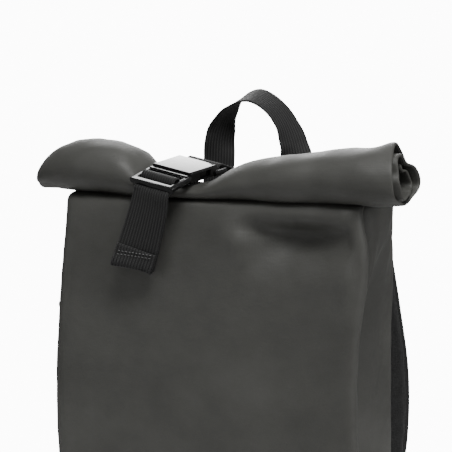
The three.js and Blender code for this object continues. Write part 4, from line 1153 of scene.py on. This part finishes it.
@dataclass
class Closure:
    """The closing strap, its hanging end and its buckle."""

    bag: BagCloth
    webbing: float = 0.038
    thickness: float = 0.0018
    seam_gap: float = 0.0003
    yoke_thickness: float = 0.0024
    yoke_height: float = 0.050
    yoke_below: float = 0.006
    swing: float = 0.045
    tail_drop: float = 0.073
    hem: float = 0.016
    hang_start: float = 0.006
    clearance: float = 0.0008
    pitch: float = 8.0
    lean: float = 9.0
    socket_length: float = 0.036
    socket_thickness: float = 0.0105
    socket_frame: float = 0.014
    plug_frame: float = 0.023
    plug_droop: float = 9.0
    frame_thickness: float = 0.005
    rail: float = 0.0045
    bar: float = 0.004

    def __post_init__(self) -> None:
        """Finds the buckle's place on the roll."""
        self.yoke_face = self.bag.back_y + self.seam_gap + self.yoke_thickness
        run = self.yoke_face - self.bag.roll_front
        self.swing_angle = math.atan2(self.swing, run)
        mouth_y = self.bag.roll_front + 0.3 * self.bag.roll_depth
        turn = (
            Matrix.Rotation(-self.swing_angle, 4, "Z")
            @ Matrix.Rotation(math.radians(self.pitch), 4, "X")
            @ Matrix.Rotation(math.radians(self.lean), 4, "Y")
        )
        self.matrix = Matrix.Translation((self.swing_x(mouth_y), mouth_y, 0)) @ turn
        self.matrix = Matrix.Translation((0, 0, self.lift())) @ self.matrix
        self.across = (self.matrix.to_3x3() @ Vector((1, 0, 0))).normalized()
        self.middle = self.socket_thickness / 2
        self.droop = math.radians(self.plug_droop)
        self.ahead = self.seam_gap + self.frame_thickness * math.sin(self.droop)
        self.window = (self.plug_frame - 2 * self.bar) / 2
        self.wrap = math.hypot(self.frame_thickness, self.bar) / 2 + self.thickness / 2 + 2 * self.seam_gap
        self.middle_bar = self.rail + self.window + self.bar / 2
        self.front_bar = self.middle_bar + self.bar + self.window
        self.tail_top = self.on_plug(0, self.front_bar, 0)

    def swing_x(self, y: float) -> float:
        """Returns where the strap's middle is on its way across the bag."""
        return -self.swing * (self.yoke_face - y) / (self.yoke_face - self.bag.roll_front)

    def lift(self) -> float:
        """Returns how high the buckle lies so that none of its underside is in the roll."""
        width = self.webbing + 2 * self.rail - 0.002
        foot = self.socket_thickness / 2 - self.frame_thickness / 2 - 2.6 * self.thickness
        found = 0.0
        for i in range(9):
            for j in range(17):
                u, v = -1 + i * 0.25, -0.6 + j * 0.1
                local = Vector((u * width / 2, v * (self.socket_length + self.socket_frame), foot if v < 0 else 0))
                world = self.matrix @ local
                found = max(found, self.bag.roll_top(world.x, world.y) - world.z)
        return found + self.clearance

    def on_buckle(self, x: float, y: float, z: float) -> Vector:
        """Returns a place in the bag's frame from one in the buckle's frame."""
        return self.matrix @ Vector((x, y, z))

    def on_plug(self, x: float, ahead: float, z: float) -> Vector:
        """Returns a place on the plug's frame, which bends down in front of the socket."""
        c, s = math.cos(self.droop), math.sin(self.droop)
        return self.on_buckle(x, -self.ahead - ahead * c - z * s, self.middle - ahead * s + z * c)

    def round_bar(self, place: Callable, middle: float, ends: tuple[float, float], steps: int) -> list[Vector]:
        """The webbing's middle as it runs round a bar.

        Args:
            place: gives a point from a place across, along and above.
            middle: where the bar is along the buckle.
            ends: the angles of both ends, in degrees.
            steps: how many steps there are.

        Returns:
            The points.
        """
        made = []
        for i in range(steps + 1):
            a = math.radians(lerp(ends[0], ends[1], i / steps))
            made.append(place(0, middle + self.wrap * math.cos(a), self.wrap * math.sin(a)))
        return made

    def stations(self, points: Sequence[Vector], across: Callable[[Vector, float], Vector]) -> list[Station]:
        """Returns a webbing's places from its middle points and the direction across at each."""
        count = len(points) - 1
        return [Station(p, across(p, i / count), self.webbing, self.thickness) for i, p in enumerate(points)]

    def strap(self) -> None:
        """Makes the strap from the yoke over the back edge of the bag and round the socket's bar."""
        away = self.seam_gap + self.thickness / 2
        sewn = self.yoke_face + away
        back_height, back_y = self.bag.back_height, self.bag.back_y
        yoke_top = back_height - self.yoke_below
        back_bar = self.socket_length + self.socket_frame - self.bar / 2
        turned = self.round_bar(
            lambda x, y, z: self.on_buckle(x, y, z + self.frame_thickness / 2), back_bar, (60, 262), 8
        )
        over = turned[0]
        rest_y = back_y - 0.008
        rest = Vector((self.swing_x(rest_y), rest_y, lerp(back_height, over.z, 0.3) + away))
        points = [
            Vector((0, sewn, yoke_top - self.yoke_height * 0.62)),
            Vector((0, sewn, yoke_top - self.yoke_height * 0.3)),
            Vector((0, sewn, yoke_top)),
            Vector((self.swing_x(back_y + 0.0015), back_y + 0.0015, back_height + 0.004 + away)),
            rest,
            rest.lerp(over, 0.5) + Vector((0, 0, 0.0005)),
            *turned,
        ]
        line = catmull(points, 0.0025)
        swung = self.yoke_height * 0.62 / sum((b - a).length for a, b in zip(line, line[1:]))

        def across(p: Vector, share: float) -> Vector:
            """Returns the direction across the strap, which turns with the buckle."""
            return Vector((1, 0, 0)).lerp(self.across, smooth(share, swung, 0.7)).normalized()

        mesh = band(self.stations(line, across))
        Maker.piece("closing_strap", mesh, Finish.WEBBING, "black_webbing", ("closure_strap",))

    def tail_line(self) -> list[Vector]:
        """Returns the middle points of the tail: up behind itself, round the plug's bars and down in front."""
        t = self.thickness
        top = self.tail_top
        end = Vector((top.x - 0.018, 0, top.z - self.tail_drop))
        gap = t + 0.0007
        half = self.webbing / 2

        def hang(share: float, layer: int) -> Vector:
            """Returns a point of one hanging layer."""
            z, x = lerp(top.z - self.hang_start, end.z, share), lerp(top.x, end.x, share**1.2)
            wall = min(self.bag.front_y(x + dx, z) + self.bag.cloth / 2 for dx in (-half, 0, half))
            lean = half * abs(math.sin(self.tail_across(Vector((x, 0, z))).y))
            clear = self.bag.cloth / 2 + self.seam_gap + t / 2 + 0.0025 + lean
            hung = lerp(top.y + 0.002, wall - clear, clamp(share * 1.6))
            return Vector((x, min(hung, self.bag.roll_front - self.bag.cloth - 0.006) - layer * gap, z))

        shares = (0, 0.2, 0.45, 0.72, 1)
        up = [hang(s, 0) for s in shares][::-1]
        down = [hang(s, 1) for s in shares]
        bar = self.round_bar(self.on_plug, self.middle_bar, (-60, 240), 14)[::-1]
        below = -self.frame_thickness / 2 - self.seam_gap - t / 2
        under = self.on_plug(0, self.front_bar - self.bar / 2, below - gap)
        foot, rise = down[-1], (down[-2] - down[-1]).normalized()
        loop = t / 2 + 0.0008
        hem = [
            foot + Vector((0, -loop * (1 - math.cos(a)), 0)) - rise * loop * math.sin(a)
            for a in (math.radians(v) for v in (45, 90, 135))
        ]
        top_of_hem = foot + Vector((0, -t - self.seam_gap, 0)) + rise * self.hem
        hem += [foot + FORWARDS * 2 * loop + rise * 0.001, foot.lerp(top_of_hem, 0.5) + FORWARDS * t * 0.55, top_of_hem]
        return [*up, under, *bar, self.on_plug(0, self.front_bar - self.bar, below), *down, *hem]

    def tail_across(self, p: Vector) -> Vector:
        """Returns the direction across the tail at a place, which turns flat to the front panel as it hangs."""
        flat = Vector((math.cos(math.radians(12)), math.sin(math.radians(12)), -0.1))
        share = clamp((self.tail_top.z - self.hang_start - p.z) / (self.tail_drop - self.hang_start))
        return self.across.lerp(flat, share).normalized()

    def tail(self) -> None:
        """Makes the webbing from the front panel up round the plug's bars and its hanging end."""
        line = catmull(self.tail_line(), 0.0022)
        stations = self.stations(line, lambda p, share: self.tail_across(p))
        made = Maker.piece("strap_tail", band(stations), Finish.WEBBING, "black_webbing", ("closure_tail",))
        foot, rise = line[-1], (line[-1] - line[-3]).normalized()
        side = self.tail_across(foot)
        run = side * (self.webbing - 0.005)
        rows = [[foot + run * (i / 12 - 0.5) - rise * down for i in range(13)] for down in (0.0035, 0.0065)]
        Seam(0.0032, 0.0024, THICK_THREAD).sewn(
            "tail_stitching", "black_webbing", [Seam.dropped(made, row, BACKWARDS) for row in rows]
        )

    def buckle(self) -> None:
        """Makes the buckle's two halves."""
        for node in ("buckle_socket", "buckle_plug"):
            part = Maker.piece(node + "_shell", Maker.from_node(node), Finish.BUCKLE, "buckle_plastic", (node,))
            Maker.rounded(part, 0.0013, 4)

    def build(self) -> None:
        """Makes the strap, the tail and the buckle."""
        self.strap()
        self.tail()
        self.buckle()


@dataclass
class CarryHandle:
    """The twisted webbing handle."""

    closure: Closure
    webbing: float = 0.030
    spread: float = 0.080
    rise: float = 0.094
    foot: float = 0.024

    ARCH = (
        (-0.5, 0.0, 0.0, 0, 0),
        (-0.49, 0.14, 0.0, 4, 0),
        (-0.48, 0.34, 0.02, 14, 0),
        (-0.47, 0.58, 0.05, 40, 8),
        (-0.38, 0.8, 0.05, 62, 16),
        (-0.22, 0.95, 0.0, 74, 20),
        (-0.02, 1.0, 0.0, 78, 20),
        (0.19, 0.91, 0.0, 74, 16),
        (0.35, 0.75, 0.02, 66, 10),
        (0.45, 0.54, 0.05, 48, 4),
        (0.5, 0.34, 0.02, 16, 0),
        (0.5, 0.14, 0.0, 4, 0),
        (0.5, 0.0, 0.0, 0, 0),
    )

    def build(self) -> None:
        """Makes the handle."""
        c = self.closure
        foot = c.bag.back_height - 0.008
        sewn = c.yoke_face + c.seam_gap + c.thickness / 2
        places, acrosses = [], []
        for x, z, y, turn, tip in self.ARCH:
            a, b = math.radians(turn), math.radians(tip)
            places.append(Vector((x * self.spread, sewn + y * self.webbing, foot + z * self.rise)))
            acrosses.append(Vector((math.cos(a), math.sin(a) * math.cos(b), math.sin(b))))
        ends = [Vector((p.x, p.y, foot - self.foot)) for p in (places[0], places[-1])]
        places = [ends[0], *places, ends[1]]
        acrosses = [acrosses[0], *acrosses, acrosses[-1]]
        line = catmull(places, 0.0025)
        turns = self.matched(places, acrosses, line)
        stations = [Station(p, a, self.webbing, c.thickness) for p, a in zip(line, turns)]
        Maker.piece("handle_loop", band(stations), Finish.WEBBING, "black_webbing", ("carry_handle",))

    @staticmethod
    def matched(places: Sequence[Vector], values: Sequence[Vector], line: Sequence[Vector]) -> list[Vector]:
        """Directions for a smooth line.

        Args:
            places: the points that the line was drawn through.
            values: the direction at each of them.
            line: the line's own points.

        Returns:
            The direction at each point of the line.
        """
        made, i = [], 0
        for p in line:
            while i < len(places) - 2 and (p - places[i]).dot(places[i + 1] - places[i]) > (
                places[i + 1] - places[i]
            ).length_squared * 0.9999:
                i += 1
            way = places[i + 1] - places[i]
            share = clamp((p - places[i]).dot(way) / way.length_squared)
            made.append(values[i].lerp(values[i + 1], share * share * (3 - 2 * share)).normalized())
        return made


@dataclass
class BackPanel:
    """The padded back, the yoke and the shoulder straps with their lower webbing."""

    closure: Closure
    voxel: float = 0.005
    pad_width: float = 0.204
    pad_height: float = 0.292
    pad_thickness: float = 0.007
    pad_corner: float = 0.026
    pad_floor: float = 0.038
    channels: tuple[float, ...] = (0.135, 0.233)
    channel_depth: float = 0.0032
    piping: float = 0.0022
    yoke_width: float = 0.236
    strap_width: float = 0.062
    strap_thickness: float = 0.009
    strap_drop: float = 0.262
    stand_off: float = 0.052
    inset: float = 0.084
    spread: float = 0.112
    foot_below: float = 0.0185
    foot_spread: float = 0.040
    anchor_spread: float = 0.1205
    anchor_height: float = 0.028

    FOOT_BOX = (0.022, 0.019)
    ANCHOR_BOX = (0.018, 0.012)
    STRAP_BOX = (0.029, 0.015)

    CURVE = Profile(
        ("row", "down", "out", "off", "width", "turn"),
        (
            (0, 0.0, 0.0, 0.0, 0.8, 0),
            (1, -0.045, 0.0, 0.1, 0.84, 0),
            (2, -0.085, 0.02, 0.42, 0.92, 2),
            (3, -0.03, 0.08, 0.78, 0.98, 5),
            (4, 0.12, 0.2, 1.0, 1.0, 8),
            (5, 0.32, 0.5, 1.08, 1.0, 10),
            (6, 0.55, 0.85, 1.05, 0.96, 8),
            (7, 0.78, 1.0, 0.92, 0.86, 4),
            (8, 1.0, 1.0, 0.76, 0.66, 0),
        ),
    )

    def pad(self) -> None:
        """Makes the padded back with its sewn channels and its piping."""
        bag = self.closure.bag
        face = bag.back_y + self.closure.seam_gap
        middle = self.pad_floor + self.pad_height / 2
        made = Maker.piece("back_padding", Maker.from_node("back_pad"), Finish.BACK_MESH, "back_mesh", ("back_pad",))

        def off_channel(p: Vector) -> float:
            """Returns how far a point is from the nearest channel."""
            return min(abs(p.z - z) for z in self.channels)

        def sewn(p: Vector) -> float:
            """Says how firmly a point is held: at the back, the edge and the channels."""
            edge = min(self.pad_width / 2 - abs(p.x), self.pad_height / 2 - abs(p.z - middle))
            return 1.0 if p.y < face + 0.003 or edge < 0.007 or off_channel(p) < 0.004 else 0.0

        Padding.fill(made, sewn, 0.005, self.voxel)
        for vertex in made.data.vertices:
            p = vertex.co
            if p.y > face + 0.003:
                vertex.co.y -= self.channel_depth * bell(off_channel(p), 0.0, 0.0035)
        Maker.subdivided(made)
        path = round_path(self.pad_width - 0.002, self.pad_height - 0.002, self.pad_corner)
        line = [Vector((x, face + self.pad_thickness * 0.72, middle + z)) for x, z in path]
        cord = tube(line, [BACKWARDS] * len(line), self.piping)
        Maker.piece("back_piping", cord, Finish.BACK_CLOTH, "back_cloth")
        inner = round_path(self.pad_width - 0.014, self.pad_height - 0.014, self.pad_corner - 0.006)
        rows = [[Vector((x, face, middle + z)) for x, z in inner]]
        half = self.pad_width / 2 - 0.009
        rows += [[Vector((lerp(-half, half, i / 60), face, z)) for i in range(61)] for z in self.channels]
        Seam(0.0042, 0.003, THICK_THREAD).sewn(
            "back_stitching", "back_cloth", [Seam.dropped(made, row, FORWARDS) for row in rows]
        )

    def strap_places(self, hand: float) -> list[Station]:
        """Returns a shoulder strap's places, with hand -1 on the left and 1 on the right."""
        c = self.closure
        sewn_z = c.bag.back_height - c.yoke_height * 0.72
        sewn_y = c.yoke_face + c.seam_gap + self.strap_thickness / 2
        rough = []
        for row in range(len(self.CURVE.rows)):
            read = {name: self.CURVE.at(name, row) for name in self.CURVE.columns}
            rough.append(Vector((
                hand * lerp(self.inset, self.spread, read["out"]),
                sewn_y + read["off"] * (self.stand_off - self.strap_thickness / 2),
                sewn_z - read["down"] * self.strap_drop,
            )))
        line = catmull(rough, 0.004)
        made, row = [], 0
        for p in line:
            while row < len(rough) - 2 and (p - rough[row]).length > (rough[row + 1] - rough[row]).length * 0.9999:
                row += 1
            place = row + clamp((p - rough[row]).length / (rough[row + 1] - rough[row]).length)
            turn = math.radians(self.CURVE.at("turn", place))
            across = Vector((math.cos(turn), -hand * math.sin(turn), 0))
            made.append(Station(p, across, self.strap_width * self.CURVE.at("width", place), self.strap_thickness))
        return made

    def strap(self, side: str, hand: float) -> None:
        """Makes one padded shoulder strap with its edge binding and stitches."""
        places = self.strap_places(hand)
        mesh = band(places, 14)
        node = f"shoulder_strap_{side}"
        made = Maker.piece(f"padded_strap_{side}", mesh, Finish.STRAP_PADDING, "strap_padding", (node,))
        ends = (places[0].at, places[-1].at)

        def sewn(p: Vector) -> float:
            """Says how firmly a point is held: at the edges and at both ends."""
            near = min(places, key=lambda s: (s.at - p).length_squared)
            edge = near.width / 2 - abs((p - near.at).dot(near.across))
            return 1.0 if edge < 0.009 or min((p - e).length for e in ends) < 0.02 else 0.0

        Padding.fill(made, sewn, 0.0035)
        Maker.subdivided(made)
        for name, sign in (("inner", -hand), ("outer", hand)):
            line = [s.at + s.across * sign * (s.width / 2 - 0.0012) for s in places]
            cord = tube(line, [s.across * sign for s in places], self.piping * 1.2, 12)
            Maker.piece(f"strap_binding_{name}_{side}", cord, Finish.WEBBING, "black_webbing")
        rows = []
        for sign in (-1, 1):
            row = []
            for a, s, b in zip(places, places[1:], places[2:]):
                out = s.across.cross((b.at - a.at).normalized())
                out = out if out.y > 0 or (abs(out.y) < 0.3 and out.z > 0) else -out
                edge = s.at + s.across * sign * (s.width / 2 - 0.0065)
                row += Seam.dropped(made, [edge], -out.normalized(), 0.008)
            rows.append(row)
        Seam(0.004, 0.0028, THICK_THREAD).sewn(f"strap_stitching_{side}", "black_webbing", rows)

    def yoke(self) -> None:
        """Makes the yoke and its stitches."""
        c = self.closure
        made = self.carried("back_yoke", "yoke_patch", Finish.BACK_CLOTH, "back_cloth", 0.0006)
        middle = c.bag.back_height - c.yoke_below - c.yoke_height / 2
        edge = round_path(self.yoke_width - 0.007, c.yoke_height - 0.007, 0.006)
        row = [Vector((x, c.yoke_face, middle + z)) for x, z in edge]
        Seam().sewn("yoke_stitching", "back_cloth", [Seam.dropped(made, row, FORWARDS, 0.004)])

    def boxed(self, piece: Piece, at: Vector, width: float, height: float) -> list[list]:
        """Returns the rows of a stitched box with a cross in it, on a piece that faces back."""
        u, v = width / 2, height / 2
        corners = [(-u, -v), (u, -v), (u, v), (-u, v), (-u, -v), (u, v), (u, -v), (-u, v)]
        rows = []
        for (ax, az), (bx, bz) in zip(corners, corners[1:]):
            line = [at + Vector((lerp(ax, bx, n / 8), 0, lerp(az, bz, n / 8))) for n in range(9)]
            rows.append(Seam.dropped(piece, line, FORWARDS, 0.02))
        return rows

    def boxes(self) -> None:
        """Sews the handle's feet, the closing strap and the lower webbing down."""
        c = self.closure
        held = bpy.data.objects
        foot = c.bag.back_height - self.foot_below
        rows = []
        for side, hand in (("left", -1), ("right", 1)):
            at = Vector((hand * self.foot_spread, c.yoke_face, foot))
            rows += self.boxed(held["handle_loop"], at, *self.FOOT_BOX)
            at = Vector((hand * self.anchor_spread, c.bag.back_y, self.anchor_height))
            rows += self.boxed(held[f"lower_webbing_{side}"], at, *self.ANCHOR_BOX)
        top = c.bag.back_height - c.yoke_below
        at = Vector((0, c.yoke_face, top - c.yoke_height * 0.42))
        rows += self.boxed(held["closing_strap"], at, *self.STRAP_BOX)
        Seam(0.003, 0.0022, THICK_THREAD).sewn("box_stitching", "black_webbing", rows)

    def carried(self, node: str, name: str, finish: Finish, slot: str, radius: float) -> Piece:
        """Returns a piece that stands for a CAD node with the node's own shape and rounder edges."""
        made = Maker.piece(name, Maker.from_node(node), finish, slot, (node,))
        Maker.rounded(made, radius)
        return made

    def build(self) -> None:
        """Makes every piece of the back."""
        self.pad()
        self.yoke()
        for side, hand in (("left", -1.0), ("right", 1.0)):
            self.strap(side, hand)
            self.carried(f"strap_adjuster_{side}", f"ladder_buckle_{side}", Finish.PLASTIC, "matt_plastic", 0.0006)
            self.carried(f"strap_webbing_{side}", f"lower_webbing_{side}", Finish.WEBBING, "black_webbing", 0.0004)
        self.boxes()


@dataclass
class SideZip:
    """The short zip on the left side."""

    bag: BagCloth
    top: float = 0.299
    length: float = 0.214
    side: float = 0.38
    tape: float = 0.020
    tape_thickness: float = 0.001
    pitch: float = 0.0019
    tooth: float = 0.0024

    def place(self, z: float) -> tuple[Vector, Vector, Vector]:
        """Returns a point of the zip's line on the cloth, with the directions across it and out of it."""
        height = z / self.bag.front_height
        at = self.bag.wall(ClothLine(-1, -1, None, self.side), height)
        ahead = self.bag.wall(ClothLine(-1, -1, None, self.side - 0.1), height)
        above = self.bag.wall(ClothLine(-1, -1, None, self.side), height + 0.01)
        across = (at - ahead).normalized()
        out = (above - at).normalized().cross(across).normalized()
        out = out if out.x < 0 else -out
        return at + out * self.bag.cloth / 2, across, out

    def teeth(self) -> None:
        """Makes the two rows of teeth."""
        bm = bmesh.new()
        count = int(self.length / self.pitch)
        for i in range(count):
            z = self.top - self.pitch * (i + 0.5)
            at, across, out = self.place(z)
            hand = 1 if i % 2 else -1
            up = out.cross(across).normalized()
            turn = Matrix((across, up, out)).transposed().to_4x4()
            size = Matrix.Diagonal((self.tooth, self.pitch * 0.78, 0.0013, 1.0))
            middle = at + across * hand * self.tooth * 0.34 + out * (self.tape_thickness + 0.0016)
            bmesh.ops.create_cube(bm, size=1.0, matrix=Matrix.Translation(middle) @ turn @ size)
        made = Maker.piece("zip_teeth", bm, Finish.ZIP_PLASTIC, "zip_plastic", ("zip_chain",))
        Maker.rounded(made, 0.0003, 2)

    def build(self) -> None:
        """Makes the tape with its stitches, the teeth, the slider, its ring and its pull."""
        steps = 54
        heights = [self.top - self.length * i / steps for i in range(steps + 1)]
        places = []
        for z in heights:
            at, across, out = self.place(z)
            middle = at + out * (self.tape_thickness / 2 + 0.0008)
            places.append(Station(middle, across, self.tape, self.tape_thickness))
        tape = Maker.piece("zip_tape_cloth", band(places, 8), Finish.ZIP_CLOTH, "zip_cloth", ("zip_tape",))
        self.teeth()
        rows = []
        for sign in (-1, 1):
            line = [s.at + s.across * sign * (self.tape / 2 - 0.0028) for s in places]
            rows.append(Seam.dropped(tape, line, Vector((1, 0, 0)), 0.01))
        Seam(0.0034, 0.0025, 0.0007).sewn("zip_stitching", "zip_cloth", rows)
        low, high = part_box("zip_slider")
        middle = (Vector(low) + Vector(high)) / 2
        at, _, out = self.place(middle.z)
        body = self.tape_thickness + 0.0030
        shift = out * (body - (middle - at).dot(out) + (high[0] - low[0]) / 2 - 0.0012)
        for node, name in (("zip_slider", "slider_body"), ("zip_ring", "slider_ring"), ("zip_pull", "slider_pull")):
            mesh = Maker.from_node(node)
            bmesh.ops.translate(mesh, verts=mesh.verts, vec=shift)
            made = Maker.piece(name, mesh, Finish.METAL, "black_metal", (node,))
            Maker.rounded(made, 0.0001 if node == "zip_ring" else 0.0004)


@dataclass
class Studio:
    """The camera, a pale floor and soft light."""

    azimuth: float = 20.0
    elevation: float = 6.0
    distance: float = 1.5
    aim: tuple[float, float, float] = (0.0, 0.0, 0.4)
    aim_pixel: tuple[float, float] = (232.0, 190.0)
    frame_pixels: float = 452.0
    focal_pixels: float = 1640.0
    sensor: float = 36.0
    around: float = 0.24
    backdrop: float = 12.0
    floor_radius: float = 0.52
    lit_height: float = 0.32
    top: float = 33.0
    side: float = 12.0
    back: float = 60.0
    front: float = 7.0

    def camera(self) -> None:
        """Sets the camera up at the photograph's angle."""
        a, e = math.radians(self.azimuth), math.radians(self.elevation)
        back = Vector((math.sin(a) * math.cos(e), -math.cos(a) * math.cos(e), math.sin(e)))
        right = Vector((math.cos(a), math.sin(a), 0))
        up = back.cross(right)
        centre = self.frame_pixels / 2
        look = -back + right * ((centre - self.aim_pixel[0]) / self.focal_pixels)
        look -= up * ((centre - self.aim_pixel[1]) / self.focal_pixels)
        data = bpy.data.cameras.new("camera")
        data.sensor_width = self.sensor
        data.lens = self.sensor * self.focal_pixels / self.frame_pixels
        data.clip_end = 50.0
        bpy.context.scene.camera = aimed("camera", data, Vector(self.aim) + back * self.distance, look)

    def light(self, name: str, at: tuple[float, float, float], size: float, power: float) -> None:
        """Adds a soft square light that faces the bag."""
        data = bpy.data.lights.new(name, "AREA")
        data.size = size
        data.energy = power
        aimed(name, data, Vector(at), UPWARDS * self.lit_height - Vector(at))

    def floor(self) -> None:
        """Adds a plain pale floor."""
        bm = bmesh.new()
        bmesh.ops.create_circle(bm, cap_ends=True, segments=96, radius=self.floor_radius)
        mesh = from_bm("floor", bm)
        made = linked("floor", mesh)
        g = Graph("pale_floor")
        g.shade(Base_Color=(0.9, 0.9, 0.9, 1.0), Roughness=0.9, Specular_IOR_Level=0.1)
        mesh.materials.append(g.material)

    def build(self) -> None:
        """Makes the camera, the floor and the lights."""
        self.camera()
        self.floor()
        self.world()
        self.light("top_light", (0.55, -0.75, 1.9), 0.8, self.top)
        self.light("side_light", (1.9, -0.2, 0.9), 0.9, self.side)
        self.light("back_light", (-0.69, 1.94, 1.60), 1.5, self.back)
        self.light("front_light", (-1.0, -2.3, 0.8), 1.2, self.front)

    def world(self) -> None:
        """Adds soft light from all round, in front of a white backdrop."""
        world = bpy.data.worlds.new("studio")
        world.use_nodes = True
        tree = world.node_tree
        soft = tree.nodes["Background"]
        soft.inputs["Color"].default_value = WHITE
        soft.inputs["Strength"].default_value = self.around
        white = tree.nodes.new("ShaderNodeBackground")
        white.inputs["Color"].default_value = WHITE
        white.inputs["Strength"].default_value = self.backdrop
        seen = tree.nodes.new("ShaderNodeLightPath").outputs["Is Camera Ray"]
        mixed = tree.nodes.new("ShaderNodeMixShader")
        tree.links.new(seen, mixed.inputs[0])
        tree.links.new(soft.outputs[0], mixed.inputs[1])
        tree.links.new(white.outputs[0], mixed.inputs[2])
        tree.links.new(mixed.outputs[0], tree.nodes["World Output"].inputs["Surface"])
        bpy.context.scene.world = world


def main() -> None:
    """Builds the backpack in order."""
    logging.basicConfig(level=logging.INFO, format="%(message)s")
    Studio().build()
    bag = BagCloth()
    bag.build()
    closure = Closure(bag)
    closure.build()
    CarryHandle(closure).build()
    BackPanel(closure).build()
    SideZip(bag).build()


if __name__ == "__main__":
    main()
